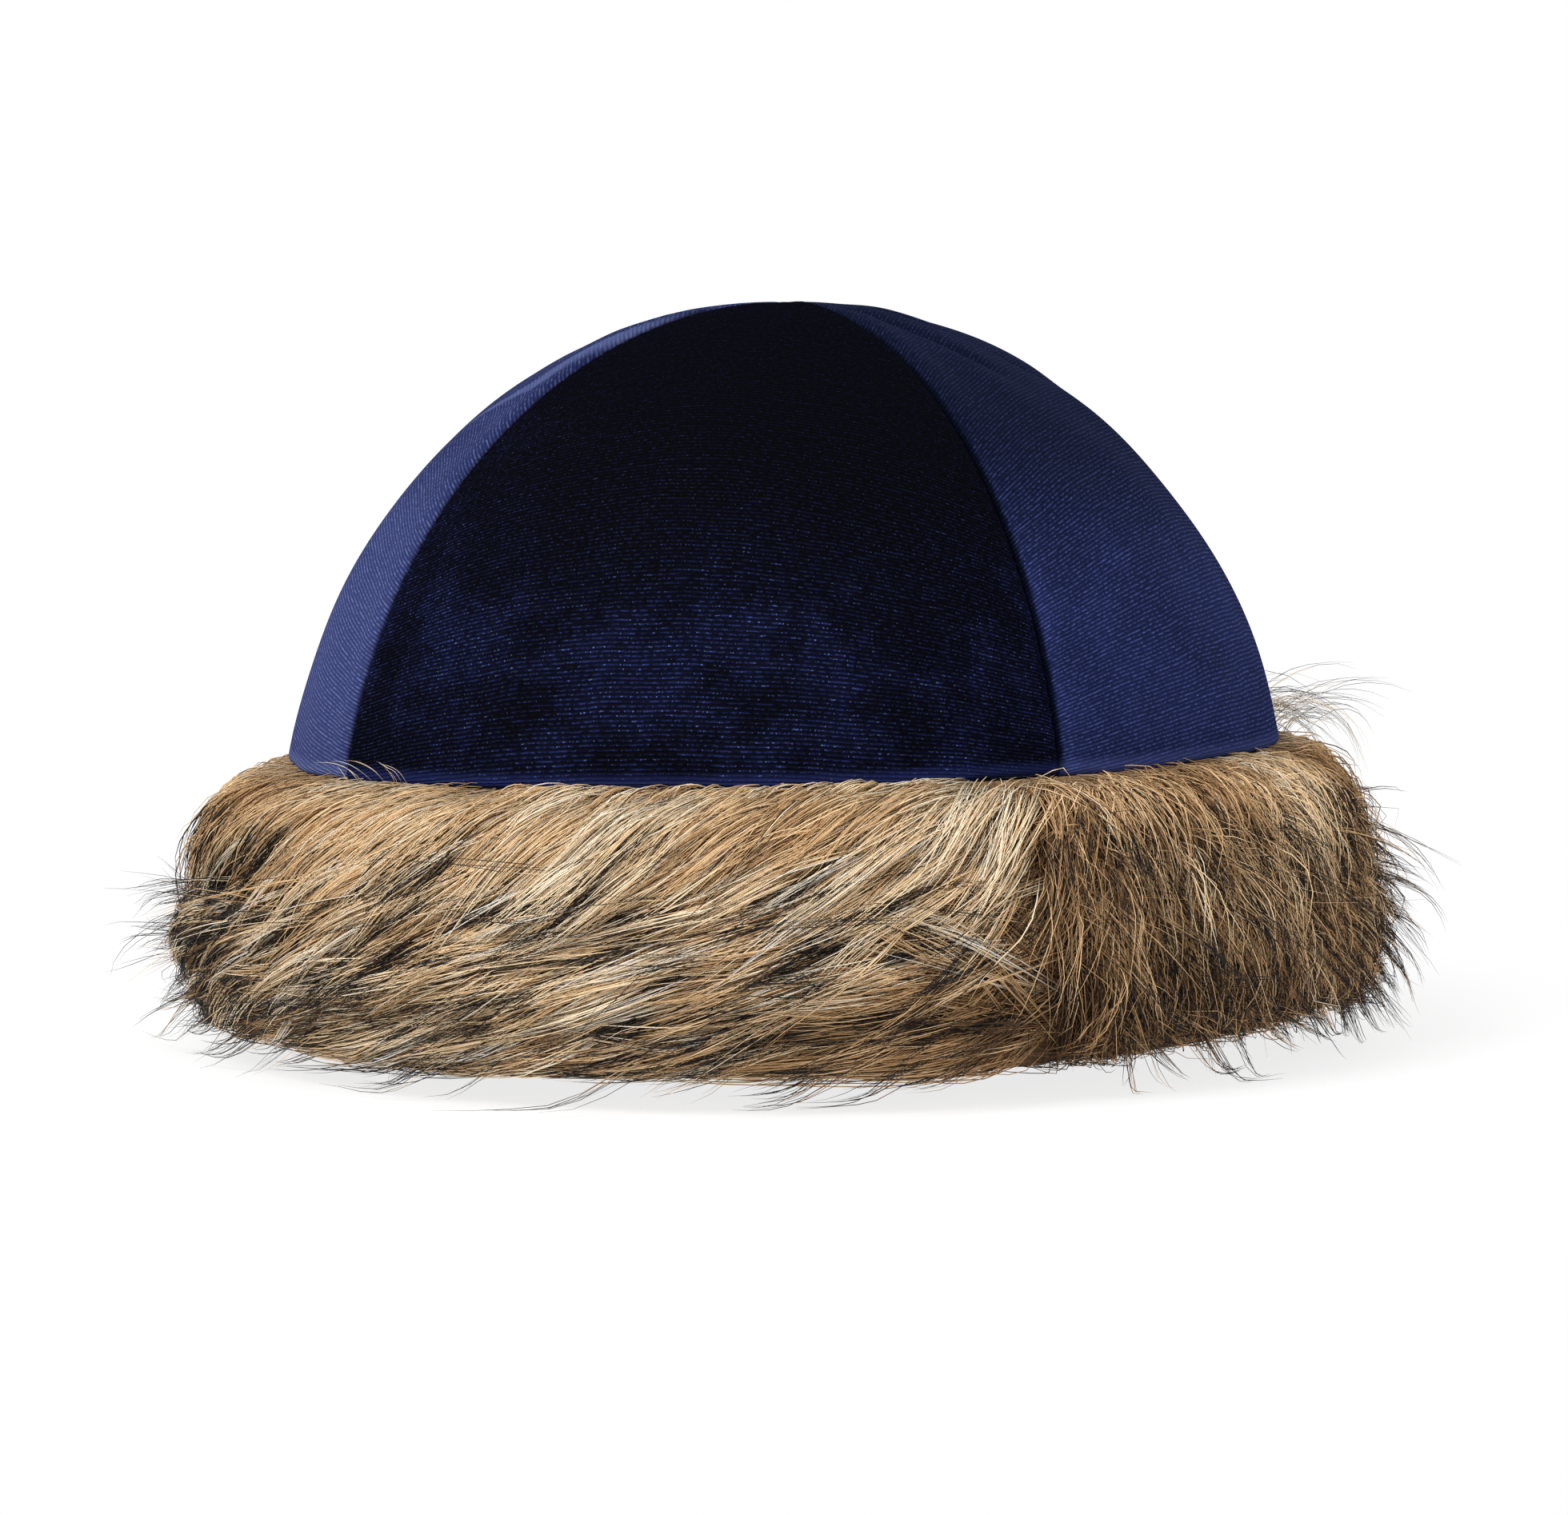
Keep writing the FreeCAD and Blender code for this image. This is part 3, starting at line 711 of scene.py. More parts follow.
def fur_section():
    """The fur's outline as distances from the section's centre, by angle, and as a share of its length."""
    upper = arc_radius(FUR_ROOT, FUR_TOP - FUR_WIDE_HIGH)
    turns = np.linspace(math.asin((FUR_TOP - FUR_WIDE_HIGH) / upper), 0, 40)
    top = [FUR_REACH - upper + upper * np.cos(turns), FUR_WIDE_HIGH + upper * np.sin(turns)]
    lower = arc_radius(FUR_FLAT, FUR_WIDE_LOW)
    turns = np.linspace(0, math.asin(FUR_WIDE_LOW / lower), 30)
    low = [FUR_REACH - lower + lower * np.cos(turns), FUR_WIDE_LOW - lower * np.sin(turns)]
    rest = [np.linspace(FUR_FLAT, FUR_FOOT, 12), np.zeros(12)]
    outline = np.concatenate([top, low, rest], axis=1).T
    away = outline - SECTION_CENTRE
    angle = np.arctan2(away[:, 1], away[:, 0])
    distance = np.hypot(away[:, 0], away[:, 1])
    steps = np.hypot(*np.diff(outline, axis=0).T)
    length = np.concatenate([[0], np.cumsum(steps)])
    return angle, distance, length


SECTION_ANGLE, SECTION_DISTANCE, SECTION_LENGTH = fur_section()
FINE_ANGLE = np.linspace(SECTION_ANGLE.min(), SECTION_ANGLE.max(), 400)
FINE_DISTANCE = np.interp(FINE_ANGLE, SECTION_ANGLE[::-1], SECTION_DISTANCE[::-1])
FINE_SLOPE = np.gradient(FINE_DISTANCE, FINE_ANGLE) / FINE_DISTANCE

# Where the fur's body is slimmer, as angles in its section, and by how much all round and at the sides
SHOULDER, SHOULDER_WIDTH = 1.15, 0.5
TUCK, TUCK_WIDTH = -0.30, 0.65
SLIM_ROUND, SLIM_LEFT, SLIM_RIGHT, TUCK_RIGHT = 1.0, 6.0, 4.6, 3.2


def slimmer(angle, around):
    """How much the fur's shoulder falls away, and its lower part at the right of the picture."""
    left, right = left_of_picture(angle), right_of_picture(angle)
    fall = bell(around - SHOULDER, SHOULDER_WIDTH) * ease(1.72, 1.5, around)
    lower = TUCK_RIGHT * right * bell(around - TUCK, TUCK_WIDTH)
    return (SLIM_ROUND + SLIM_LEFT * left + SLIM_RIGHT * right) * fall + lower


def left_of_picture(angle):
    """1 at the left side of the photograph, 0 at its middle."""
    return ease(0.30, 0.93, -np.cos(angle))


def right_of_picture(angle):
    """1 at the right side of the photograph, 0 at its middle."""
    return ease(0.30, 0.93, np.cos(angle))


def raised(angle):
    """How much higher the body of the fur ends at the cap's sides, where only its tips reach down."""
    return 4.0 * ease(0.50, 0.98, np.abs(np.cos(angle)))


def section_angle(share):
    """The angle of a place on the fur's outline, by its share of the way from the hem to the underside."""
    return np.interp(share * SECTION_LENGTH[-1], SECTION_LENGTH, SECTION_ANGLE)


def fur_surface(angle, share, off):
    """Points of the fur's outline, off it by some millimetres outwards."""
    around = section_angle(share)
    distance = np.interp(around, FINE_ANGLE, FINE_DISTANCE) - slimmer(angle, around) + off
    out_by = SECTION_CENTRE[0] + distance * np.cos(around)
    height = SECTION_CENTRE[1] + distance * np.sin(around)
    return on_band(angle, out_by, height)


def fur_frame(points, angle):
    """The directions at points in the fur, along the band, down its outside and out of it, and the depth."""
    angle, out_by = place_on_band(points, angle)
    _, out, along = oval_frame(angle)
    away = out_by - SECTION_CENTRE[0]
    high = points[..., 2] - SECTION_CENTRE[1]
    around = np.arctan2(high, away)
    around = np.where(around > 2.4, around - 2 * math.pi, around)
    slope = np.interp(around, FINE_ANGLE, FINE_SLOPE)
    normal_out = np.cos(around) + slope * np.sin(around)
    normal_up = np.sin(around) - slope * np.cos(around)
    normal = unit(np.stack([normal_out, normal_up], axis=-1))
    depth = np.hypot(away, high) - np.interp(around, FINE_ANGLE, FINE_DISTANCE) + slimmer(angle, around)

    def to_space(out_part, up_part):
        return np.concatenate([out * out_part[..., None], up_part[..., None]], axis=-1)

    outward = to_space(normal[..., 0], normal[..., 1])
    down = to_space(normal[..., 1], -normal[..., 0])
    forward = np.concatenate([along, np.zeros(along.shape[:-1] + (1,))], axis=-1)
    return angle, forward, down, outward, depth, around


def trace(angle, share, depth, slope, turn, length, lay, lift, hold, clear):
    """Paths of strands that start in the fur and follow its nap.

    slope is how far below level they run, turn is 1 or -1 by the way round, lay the height at which they
    lie off the outline, lift how steeply they start, hold how much a strand keeps its own direction, and
    clear the height over the floor that it keeps.
    """
    points = fur_surface(angle, share, depth)
    step = length / (STRAND_POINTS - 1)
    paths = [points]
    heading = None
    for _ in range(STRAND_POINTS - 1):
        angle, forward, down, outward, above, around = fur_frame(points, angle)
        steep = slope + STEEPER_AT_TOP * ease(0.6, 1.5, around)
        nap = forward * np.cos(steep)[:, None] * turn + down * np.sin(steep)[:, None]
        if heading is None:
            heading = nap * np.cos(lift)[:, None] + outward * np.sin(lift)[:, None]
        else:
            pull = np.clip((lay - above) * 0.16, -0.55, 0.55)
            wish = unit(nap + outward * pull[:, None])
            heading = heading * hold[:, None] + wish * (1 - hold)[:, None]
        heading = unit(heading)
        room = np.clip((points[:, 2] - clear) / SETTLING_HEIGHT, 0, 1)
        heading[:, 2] = np.where(heading[:, 2] < 0, heading[:, 2] * room, heading[:, 2])
        points = points + heading * step[:, None]
        paths.append(points)
    return np.stack(paths, axis=1)


def strands_of(rng, guides, angle, clear, each, style):
    """Strands round each guide, drawn in towards it along their length."""
    owner = np.repeat(np.arange(len(guides)), each)
    count = len(owner)
    spread = style["spread"]
    share = np.linspace(0, 1, STRAND_POINTS)
    reach = rng.uniform(style["shortest"], 1.0, count)
    spot = reach[:, None] * share[None, :] * (STRAND_POINTS - 1)
    low = np.minimum(spot.astype(int), STRAND_POINTS - 2)
    part = (spot - low)[..., None]
    own = guides[owner]
    index = np.arange(count)[:, None]
    paths = own[index, low] * (1 - part) + own[index, low + 1] * part
    _, forward, down, outward, _, _ = fur_frame(own[:, 0], angle[owner])
    offset = forward * rng.normal(0, spread, count)[:, None]
    offset += down * rng.normal(0, spread, count)[:, None]
    offset += outward * rng.uniform(-0.6, 0.5, count)[:, None]
    drawn = 1 - rng.normal(style["clump"], 0.12, count)[:, None] * share**1.2
    paths = paths + offset[:, None, :] * drawn[..., None]
    sway = rng.normal(0, 1, (count, 3))
    phase = rng.uniform(0, 2 * math.pi, count)[:, None]
    pace = rng.uniform(0.5, 1.5, count)[:, None]
    curl = np.sin(2 * math.pi * pace * share + phase) - np.sin(phase)
    paths = paths + sway[:, None, :] * (curl * share * style["frizz"])[..., None]
    floor = (clear[owner] * rng.uniform(0.7, 1.2, count))[:, None]
    paths[..., 2] = floor + SOFT_FLOOR * np.logaddexp(0, (paths[..., 2] - floor) / SOFT_FLOOR)
    return owner, paths


# How far the hairs may stand out along X and along Y
ROOM = (124.2, 139.0)


def within_room(paths):
    """Shortens the strands that would stand out past the room round the cap."""
    for axis, limit in enumerate(ROOM):
        root = np.abs(paths[:, 0, axis])
        far = np.abs(paths[..., axis]).max(axis=1)
        share = np.clip((limit - root) / np.maximum(far - root, 0.001), 0, 1)
        paths = paths[:, :1] + (paths - paths[:, :1]) * share[:, None, None]
    return paths


def strand_mesh(name, paths, thickness, tone, tip):
    """Three-sided tapering strands along paths."""
    count, steps = paths.shape[:2]
    run = unit(np.gradient(paths, axis=1))
    side = unit(np.cross(run, unit(paths[:, :1] * [1, 1, 0])))
    top = np.cross(side, run)
    share = np.linspace(0, 1, steps)
    taper = np.interp(share, [0, 0.25, 0.7, 1], [0.75, 1.0, 0.8, 0.12])
    radius = thickness[:, None] * taper / 2
    corners = []
    for turn in (90, 210, 330):
        across = math.cos(math.radians(turn)) * side + math.sin(math.radians(turn)) * top
        corners.append(paths + across * radius[..., None])
    points = np.stack(corners, axis=2)
    faces = grid_faces(steps, 3, closed=True)
    faces = (faces[None] + (np.arange(count) * steps * 3)[:, None, None]).reshape(-1, 4)

    # Each strand has a column of the map for its tone and its tip
    tone_step = np.clip(np.round(tone * (TONES - 1)), 0, TONES - 1)
    tip_step = np.clip(np.round(tip * (TIPS - 1)), 0, TIPS - 1)
    column = tone_step * TIPS + tip_step
    row, face = [grid.ravel() for grid in np.meshgrid(np.arange(steps - 1), np.arange(3), indexing="ij")]
    left, right = [0.15 + 0.7 * (face + k) / 3 for k in (0, 1)]
    low, high = [0.01 + 0.98 * (row + k) / (steps - 1) for k in (0, 1)]
    across = (column[:, None, None] + np.stack([left, right, right, left], axis=1)) / (TONES * TIPS)
    up = np.broadcast_to(np.stack([low, low, high, high], axis=1), across.shape)
    return make_mesh(name, points, faces, np.stack([across, up], axis=-1))


STRANDS_IN_A_PIECE = 4600
FUR = hair()


def add_fur(name, strip, paths, thickness, tone, tip):
    """Splits strands into pieces by their angle round the band, and puts each on the cap."""
    order = np.argsort(np.arctan2(paths[:, 0, 1], paths[:, 0, 0]), kind="stable")
    lots = math.ceil(len(order) / STRANDS_IN_A_PIECE)
    for number, chosen in enumerate(np.array_split(order, lots), start=1):
        parts = [values[chosen] for values in (paths, thickness, tone, tip)]
        put_on(strand_mesh(f"{name}_{number}", *parts), f"fur_pile_{strip}", FUR)


class Nap:
    """How one strip's fur lies: its direction, its tone and its dark tips, by place on the strip."""

    def __init__(self, strip):
        self.strip = strip
        self.left = strip == "front_left"
        self.turn = -1.0 if self.left else 1.0
        seed = 7 if self.left else 8
        self.sway = waves(seed, (0.9, 0.5))
        self.shade = waves(seed + 20, (0.55, 0.33))
        self.patch = waves(seed + 40, (0.40, 0.30))

    def angle(self, swept):
        return PARTING + self.turn * swept

    def slope(self, swept, share):
        """Degrees below level."""
        if self.left:
            return 31 - 23 * share + 9 * self.sway(swept, share) - 13 * bell(swept, 0.40)
        front = ease(1.2, 0.0, swept)
        return 40 - 14 * share + (14 + 8 * front) * self.sway(swept, share) + 42 * front

    def tone(self, swept, share):
        low = ease(0.50, 0.80, share)
        if self.left:
            side = left_of_picture(self.angle(swept))
            near = 0.16 * ease(0.50, 0.10, swept) * ease(0.15, 0.5, share)
            side_tone = side * (0.11 + 0.10 * ease(0.0, 0.3, share))
            return 0.725 + 0.12 * self.shade(swept, share) - 0.10 * low - side_tone - near
        front = ease(1.9, 0.9, swept)
        deep = 0.06 + 0.42 * np.minimum(share, 0.45)
        return 0.635 + 0.12 * self.shade(swept, share) - front * deep - 0.08 * low

    def dark(self, swept, share):
        """The share of strands with a dark tip."""
        low = ease(0.45, 0.75, share)
        spots = np.maximum(self.patch(swept, share) - 0.1, 0)
        if self.left:
            side = left_of_picture(self.angle(swept)) * ease(-0.03, 0.07, share)
            return 0.08 + 0.40 * spots + 0.14 * low + 0.84 * side
        side = ease(0.35, 0.85, np.cos(self.angle(swept)))
        return 0.18 + 0.35 * spots + 0.16 * low + 0.20 * side


def coat(name, nap, seed, locks, each, **how):
    """One kind of hair over one strip. Pairs in how are the least and the most of a value."""
    rng = np.random.default_rng(seed)
    locks = max(2, round(locks * FUR_AMOUNT))
    style = STYLE | how

    def draw(key, count=locks):
        return rng.uniform(*style[key], count)

    low, high = np.radians(style["swept"])
    swept = low + (high - low) * (np.arange(locks) + rng.uniform(0, 1, locks)) / locks
    share = draw("share")
    angle = nap.angle(swept)
    level = style["slope"] if style["slope"] is not None else nap.slope(swept, share)
    slope = np.radians(level + rng.normal(0, style["stray"], locks))
    slope = slope + bell(swept, 0.15) * rng.normal(0, 0.25, locks)
    lift = np.radians(draw("lift"))
    clear = draw("clear") + (raised(angle) if style["clear"][0] > 2 else 0)
    depth, length, lay, hold = [draw(key) for key in ("depth", "length", "lay", "hold")]
    guides = trace(angle, share, depth, slope, nap.turn, length, lay, lift, hold, clear)
    owner, paths = strands_of(rng, guides, angle, clear, each, style)
    paths = within_room(tilt_with_hem(paths))
    count = len(owner)
    hollow = bell(swept, 0.06) * bell(share - 0.5, 0.16)
    own_tone = nap.tone(swept, share) - 0.3 * hollow if style["tone"] is None else draw("tone")
    tone = (own_tone + rng.normal(0, 0.07, locks))[owner] + rng.normal(0, 0.10, count)
    guard = rng.uniform(0, 1, count) < style["guard"]
    tone = np.where(guard, rng.uniform(0.0, 0.16, count), tone)
    dark = nap.dark(swept, share) if style["dark"] is None else np.full(locks, style["dark"])
    dark = np.clip(dark + rng.normal(0, 0.18, locks), 0, 1)
    tip = rng.uniform(0, 1, count) < dark[owner]
    tip = tip * np.clip(rng.uniform(0.2, 0.7, count) + 0.4 * dark[owner], 0, 1)
    tone = np.clip(tone, 0, 1.0 if style["tone"] is not None else 0.93)
    add_fur(f"{name}_{nap.strip}", nap.strip, paths, draw("thickness", count), tone, tip)


# How a coat's locks grow and look, where the coat doesn't say it
STYLE = {
    "swept": (0, 180),
    "share": (0.01, 0.72),
    "slope": None,
    "stray": 7,
    "lift": (6, 24),
    "depth": (-6.0, -4.6),
    "length": (30, 48),
    "lay": (-4.8, -1.2),
    "hold": (0.30, 0.62),
    "clear": (4.2, 6.0),
    "spread": 1.9,
    "clump": 0.66,
    "frizz": 0.5,
    "shortest": 0.6,
    "tone": None,
    "guard": 0.03,
    "dark": None,
    "thickness": (0.17, 0.28),
}


def strip_core(strip, start, end):
    """The dense under fur of one strip, as a body that follows the fur's outline from inside it."""
    columns, rows = 361, 60
    angle, share = np.meshgrid(np.linspace(start, end, columns), np.linspace(0.012, 1, rows), indexing="ij")
    rough = waves(int(abs(start) * 100), (0.05, 0.06))(angle, share)
    inset = 1.0 + 4.8 * ease(-0.02, 0.14, share) * ease(1.04, 0.92, share)
    off = 0.7 * rough * ease(0.0, 0.1, share) - inset
    points = tilt_with_hem(fur_surface(angle, share, off))
    points[..., 2] = np.maximum(points[..., 2], BODY_CLEARANCE + raised(angle))
    faces = grid_faces(columns, rows)
    cloth = np.stack([(angle - start) / (end - start), share], axis=-1).reshape(-1, 2)
    return make_mesh(f"fur_body_{strip}", points, faces, cloth[faces])


# Making the object

# The same velvet as lit and shaded copies, one a gore: painted lightest on the left gore and darkest at the
# front
velvets = {
    "front": velvet(
        "velvet_front", colour(7, 7, 10), colour(16, 19, 39), colour(37, 45, 94),
        nap=0.16, patch=0.52, top_shade=0.30, sheen=0.006,
    ),
    "right": velvet(
        "velvet_right", colour(12, 16, 33), colour(34, 42, 84), colour(70, 80, 136),
        nap=0.62, patch=0.38, top_shade=0.60, sheen=0.07,
    ),
    "left": velvet(
        "velvet_left", colour(22, 28, 62), colour(54, 62, 106), colour(96, 107, 152),
        nap=0.84, patch=0.30, top_shade=0.62, sheen=0.12, paint_fold_shade=True,
    ),
    "back": velvet(
        "velvet_back", colour(8, 9, 20), colour(22, 28, 66), colour(44, 54, 108),
        nap=0.25, patch=0.60, top_shade=0.30, sheen=0.02,
    ),
}
LINING = satin("lining_satin", colour(16, 19, 42), colour(34, 39, 72))
KNIT = wool("fur_ground_knit", colour(96, 74, 52), colour(142, 114, 84), 1400.0)
WADDING = wool("bonded_wadding", colour(214, 213, 208), colour(238, 237, 232), 900.0)
THREAD = wool("sewing_thread", colour(16, 19, 44), colour(38, 44, 82), 3200.0)
UNDER_FUR = under_fur()

# The flat sizes of the gores, in metres
GORE_FLAT = {"front": (0.153, 0.149), "right": (0.166, 0.140)}
GORE_FLAT |= {"back": GORE_FLAT["front"], "left": GORE_FLAT["right"]}

for side, middle in GORES.items():
    piece = gore(side, middle)
    put_on(piece, f"shell_panel_{side}", velvets[side])
    inside = lining_gore(side, middle)
    put_on(inside, f"lining_panel_{side}", LINING)
    put_on(wadding_gore(side, middle), f"crown_wadding_{side}", WADDING)

# The two strips of fur, and which way round the band each runs from the parting
STRIPS = {"front_left": -1, "back_right": 1}

for strip, way in STRIPS.items():
    body = strip_core(strip, PARTING, PARTING + way * math.pi)
    put_on(body, f"fur_pile_{strip}", UNDER_FUR)

FUR_AMOUNT = 1.0
left_nap = Nap("front_left")
right_nap = Nap("back_right")

coat("fur_locks", left_nap, 101, 2240, 16)
coat(
    "fur_locks", right_nap, 102, 2240, 16,
    stray=24, length=(18, 33), lay=(-6.6, -2.4), frizz=1.8, guard=0.10, hold=(0.4, 0.74), lift=(5, 36),
    thickness=(0.13, 0.24),
)
TOP_EDGE = {"share": (0.0, 0.05), "depth": (-0.9, 0.1)}
coat("fur_top_edge", left_nap, 103, 520, 12, **TOP_EDGE, lift=(2, 12), lay=(-2.4, -0.4))
coat(
    "fur_top_edge", right_nap, 104, 520, 12, **TOP_EDGE,
    lift=(2, 18), lay=(-2.4, -0.2), length=(18, 30), stray=20, frizz=1.2,
)
coat(
    "fur_dark_streaks", left_nap, 105, 330, 9,
    share=(0.10, 0.66), lay=(-2.6, -0.8), spread=0.75, tone=(0.02, 0.26), dark=1.0, length=(28, 46),
)
coat(
    "fur_pale_locks", left_nap, 106, 330, 9,
    share=(0.02, 0.64), lay=(-2.2, -0.6), spread=0.8, tone=(0.78, 0.92), dark=0.1, length=(34, 52),
)
coat(
    "fur_guard_hairs", right_nap, 107, 1200, 2,
    share=(0.03, 0.66), slope=45, stray=42, lay=(-4.4, -0.4), hold=(0.6, 0.85), lift=(12, 38), spread=0.5,
    tone=(0.0, 0.12), dark=1.0, length=(12, 24), thickness=(0.14, 0.2), frizz=1.4,
)
LOOSE = {"spread": 0.9, "dark": 1.0, "clear": (0.3, 1.0)}
coat(
    "fur_strays", left_nap, 108, 210, 5, **LOOSE,
    share=(0.14, 0.66), lay=(-2.0, 7.0), hold=(0.80, 0.95), lift=(8, 30), stray=10,
    length=(28, 48), thickness=(0.11, 0.18), frizz=0.6, shortest=0.45,
)
coat(
    "fur_strays", right_nap, 109, 170, 6, **LOOSE,
    share=(0.05, 0.66), lay=(-3.0, 6.0), hold=(0.78, 0.94), lift=(12, 45), stray=12,
    length=(22, 38), thickness=(0.13, 0.20), frizz=0.5, shortest=0.5, clump=0.84,
)
FRINGE = {"share": (0.50, 0.72), "lay": (-5.0, 3.0), "clear": (0.2, 4.0), "dark": 0.95}
FRINGE |= {"spread": 1.2, "clump": 0.8, "frizz": 0.4, "shortest": 0.5}
coat(
    "fur_fringe", left_nap, 110, 320, 8, **FRINGE,
    slope=16, stray=9, hold=(0.74, 0.93), lift=(2, 34), tone=(0.3, 0.65), length=(16, 36),
    thickness=(0.12, 0.19),
)
coat(
    "fur_fringe", right_nap, 111, 380, 8, **FRINGE,
    slope=30, stray=18, hold=(0.72, 0.92), lift=(2, 38), tone=(0.3, 0.6), length=(12, 27),
    thickness=(0.13, 0.20),
)
coat(
    "fur_over_hem", left_nap, 112, 44, 5,
    swept=(14, 54), share=(0.0, 0.003), depth=(0.0, 0.6), lift=(8, 30), hold=(0.40, 0.60), lay=(-2.4, -0.4),
    length=(12, 22), spread=0.7, tone=(0.6, 0.85), dark=0.1,
)
coat(
    "fur_pale_tuft", right_nap, 113, 34, 4,
    swept=(76, 98), share=(0.0, 0.05), slope=70, depth=(-1, 1), lift=(48, 88), hold=(0.64, 0.82),
    lay=(-4, 0), length=(16, 36), spread=1.8, frizz=0.5, tone=(0.86, 1.0), dark=0.7, thickness=(0.1, 0.15),
    stray=20, clump=0.4,
)
coat(
    "fur_on_velvet", left_nap, 114, 5, 2,
    swept=(69, 81), share=(0.0, 0.003), depth=(0.2, 0.8), lift=(50, 78), hold=(0.80, 0.90), lay=(0.0, 4.0),
    length=(6, 11), spread=0.8, frizz=0.2, tone=(0.75, 0.92), dark=0.0, thickness=(0.08, 0.12), stray=25,
)
coat(
    "fur_dark_patch", left_nap, 116, 250, 10,
    swept=(68, 116), share=(0.10, 0.52), lay=(-2.2, -0.4), spread=1.0, tone=(0.02, 0.34), dark=1.0,
    length=(18, 34), thickness=(0.15, 0.24),
)
coat(
    "fur_dark_points", right_nap, 115, 66, 9,
    swept=(38, 92), share=(0.16, 0.62), slope=44, stray=9, lay=(-1.0, 5.0), hold=(0.80, 0.93),
    lift=(14, 38), spread=1.2, clump=0.9, tone=(0.05, 0.3), dark=1.0, length=(20, 32),
    thickness=(0.11, 0.17), clear=(0.4, 2.0),
)

# Pieces inside the band, which lean with the hem
WHOLE_BAND = (math.radians(90.15), math.radians(449.85))
BAND_STEPS, HALF_BAND_STEPS = 240, 130


def lean_copy(name, node, outline, material, slot, span=WHOLE_BAND, steps=BAND_STEPS):
    """A strip of the band with this outline, in place of a node."""
    put_on(band_strip(name, outline, *span, steps), node, material)


def oblong(inner, outer, low, high):
    """The outline of a layer between two places out and two heights."""
    return [(inner, low), (outer, low), (outer, high), (inner, high)]


# The layers of the band, outwards from the head's oval
RIBBON_IN, RIBBON_OUT, RIBBON_EDGE = 0.12, 0.95, 0.4
FACING_IN, FACING_OUT = 1.12, 1.68
PADDING_IN, PADDING_OUT = 1.82, 3.78
BACKING_IN, BACKING_OUT = 3.92, 4.88
KNIT_THICKNESS, TURN_UP = 0.95, 11.9
backing_low, backing_high = heights("fur_backing_front_left")
KNIT_TURN = [
    (BACKING_OUT, backing_high),
    (BACKING_OUT, backing_low),
    (FACING_IN, backing_low),
    (FACING_IN, backing_low + TURN_UP),
    (FACING_OUT, backing_low + TURN_UP),
    (FACING_OUT, backing_low + KNIT_THICKNESS),
    (BACKING_IN, backing_low + KNIT_THICKNESS),
    (BACKING_IN, backing_high),
]
for strip, way in STRIPS.items():
    span = (PARTING, PARTING + way * math.radians(179.7))
    names = (f"knit_ground_{strip}", f"fur_backing_{strip}")
    lean_copy(*names, KNIT_TURN[::-way], KNIT, "fur_ground", span, HALF_BAND_STEPS)

filling = oblong(PADDING_IN, PADDING_OUT, *heights("band_padding"))
lean_copy("band_filling", "band_padding", filling, WADDING, "wadding")
facing = oblong(FACING_IN, FACING_OUT, *heights("band_facing"))
lean_copy("facing_cloth", "band_facing", facing, LINING, "lining")
ribbon = rounded(oblong(RIBBON_IN, RIBBON_OUT, RIBBON_LOW, RIBBON_HIGH), RIBBON_EDGE)
RIBBON = grosgrain("ribbon_grosgrain", colour(14, 16, 28), colour(40, 44, 64), 640)
lean_copy("ribbon_band", "sweatband", ribbon, RIBBON, "ribbon")

finishes = {"wadding": WADDING, "thread": THREAD, "fur_ground": KNIT, "lining": LINING}
slots = {sub["node"]: sub["material_slot"] for sub in frame["record"]["subparts"]}
for node, piece in frame["nodes"].items():
    if piece.hide_render:
        continue
    piece.data.materials.clear()
    piece.data.materials.append(finishes[slots[node]])

# Floor, lamps, world and camera


def stage():
    """A plain pale floor, which glows more further out."""
    size = 6000.0
    corners = [(-size, -size, 0), (size, -size, 0), (size, size, 0), (-size, size, 0)]
    floor = make_mesh("floor", corners, [[0, 1, 2, 3]])
    shader = Shader("pale_floor")
    shader.finish(Base_Color=(0.93, 0.93, 0.93, 1), Roughness=1.0, Specular_IOR_Level=0.0)
    away = shader.node("ShaderNodeVectorMath", operation="LENGTH")
    shader.fill(away, shader.place())
    share = shader.spread(away.outputs["Value"], 0.12, 0.36, 0.80, 1.0)
    glow = shader.node("ShaderNodeEmission").outputs[0]
    both = shader.fill(shader.node("ShaderNodeMixShader"), share, shader.surface.outputs[0], glow)
    shader.plug(shader.tree.nodes["Material Output"].inputs["Surface"], both)
    floor.data.materials.append(shader.material)


def lamp(name, azimuth, elevation, distance, size, power):
    """A soft square lamp that faces the cap."""
    light = bpy.data.lights.new(name, "AREA")
    light.shape = "SQUARE"
    light.size = size
    light.energy = power
    aim(add_object(name, light), azimuth, elevation, distance, np.array([0, 0, 55.0]))


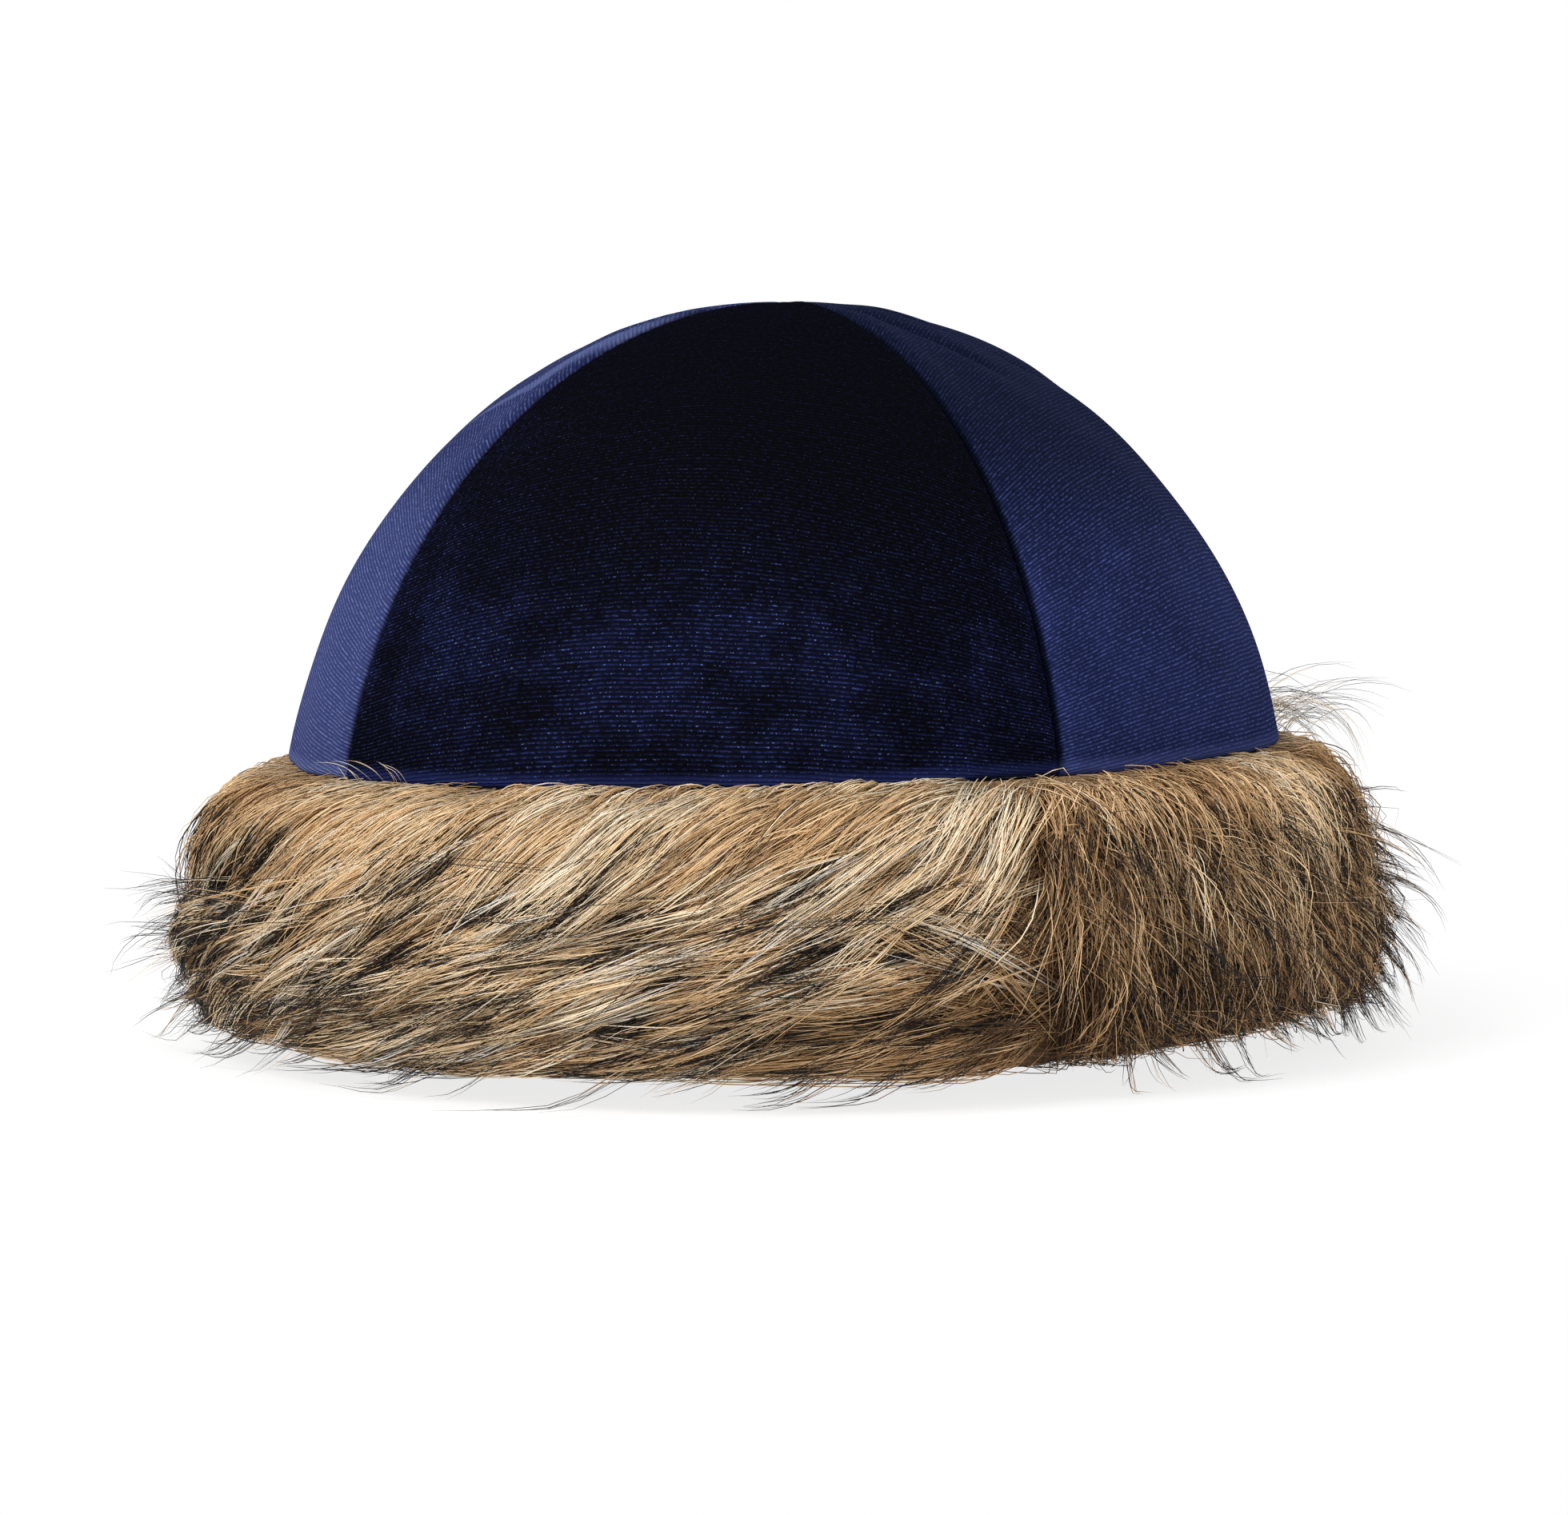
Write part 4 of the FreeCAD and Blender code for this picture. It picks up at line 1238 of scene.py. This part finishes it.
def aim(item, azimuth, elevation, distance, target):
    """Puts item at a distance from target, in millimetres, facing it."""
    turn, rise = math.radians(azimuth), math.radians(elevation)
    back = np.array([math.sin(turn) * math.cos(rise), -math.cos(turn) * math.cos(rise), math.sin(rise)])
    right = np.array([math.cos(turn), math.sin(turn), 0.0])
    up = np.cross(back, right)
    centre = (target + back * distance) * MM
    rows = [[right[k], up[k], back[k], centre[k]] for k in range(3)]
    item.matrix_world = Matrix(rows + [[0, 0, 0, 1]])
    return right, up


def make_camera():
    """The photograph's view."""
    data = bpy.data.cameras.new("camera")
    data.sensor_width = SENSOR_WIDTH
    data.lens = SENSOR_WIDTH * CAMERA_DISTANCE / (PHOTO_WIDTH * MM_PER_PIXEL)
    camera = add_object("camera", data)
    hem_centre = np.array([0, 0, HEM_HEIGHT])
    right, up = aim(camera, CAMERA_AZIMUTH, CAMERA_ELEVATION, CAMERA_DISTANCE, hem_centre)
    to_right = (PHOTO_WIDTH / 2 - HEM_CENTRE_PIXEL[0]) * MM_PER_PIXEL
    to_top = (HEM_CENTRE_PIXEL[1] - PHOTO_HEIGHT / 2) * MM_PER_PIXEL
    centre = hem_centre + right * to_right + up * to_top
    aim(camera, CAMERA_AZIMUTH, CAMERA_ELEVATION, CAMERA_DISTANCE, centre)
    bpy.context.scene.camera = camera


def make_world():
    """Even white surroundings, seen as white and giving a plain level of light."""
    world = bpy.data.worlds.new("studio")
    bpy.context.scene.world = world
    world.use_nodes = True
    tree = world.node_tree
    rays = tree.nodes.new("ShaderNodeLightPath")
    seen = rays.outputs["Is Camera Ray"]
    for kind in ("Is Glossy Ray", "Is Transmission Ray"):
        either = tree.nodes.new("ShaderNodeMath")
        either.operation = "MAXIMUM"
        tree.links.new(seen, either.inputs[0])
        tree.links.new(rays.outputs[kind], either.inputs[1])
        seen = either.outputs[0]
    level = tree.nodes.new("ShaderNodeMapRange")
    level.inputs["To Min"].default_value = WORLD_LEVEL
    level.inputs["To Max"].default_value = 1.0
    tree.links.new(seen, level.inputs["Value"])
    background = tree.nodes["Background"]
    background.inputs["Color"].default_value = (1, 1, 1, 1)
    tree.links.new(level.outputs[0], background.inputs["Strength"])


WORLD_LEVEL = 0.52
stage()
make_world()
lamp("key", -32, 44, 1500.0, 0.8, 23.0)
lamp("fill", 48, 24, 1700.0, 1.2, 6.0)
lamp("back", 170, 42, 1600.0, 1.0, 7.0)
make_camera()
bpy.context.scene.view_settings.view_transform = "Standard"
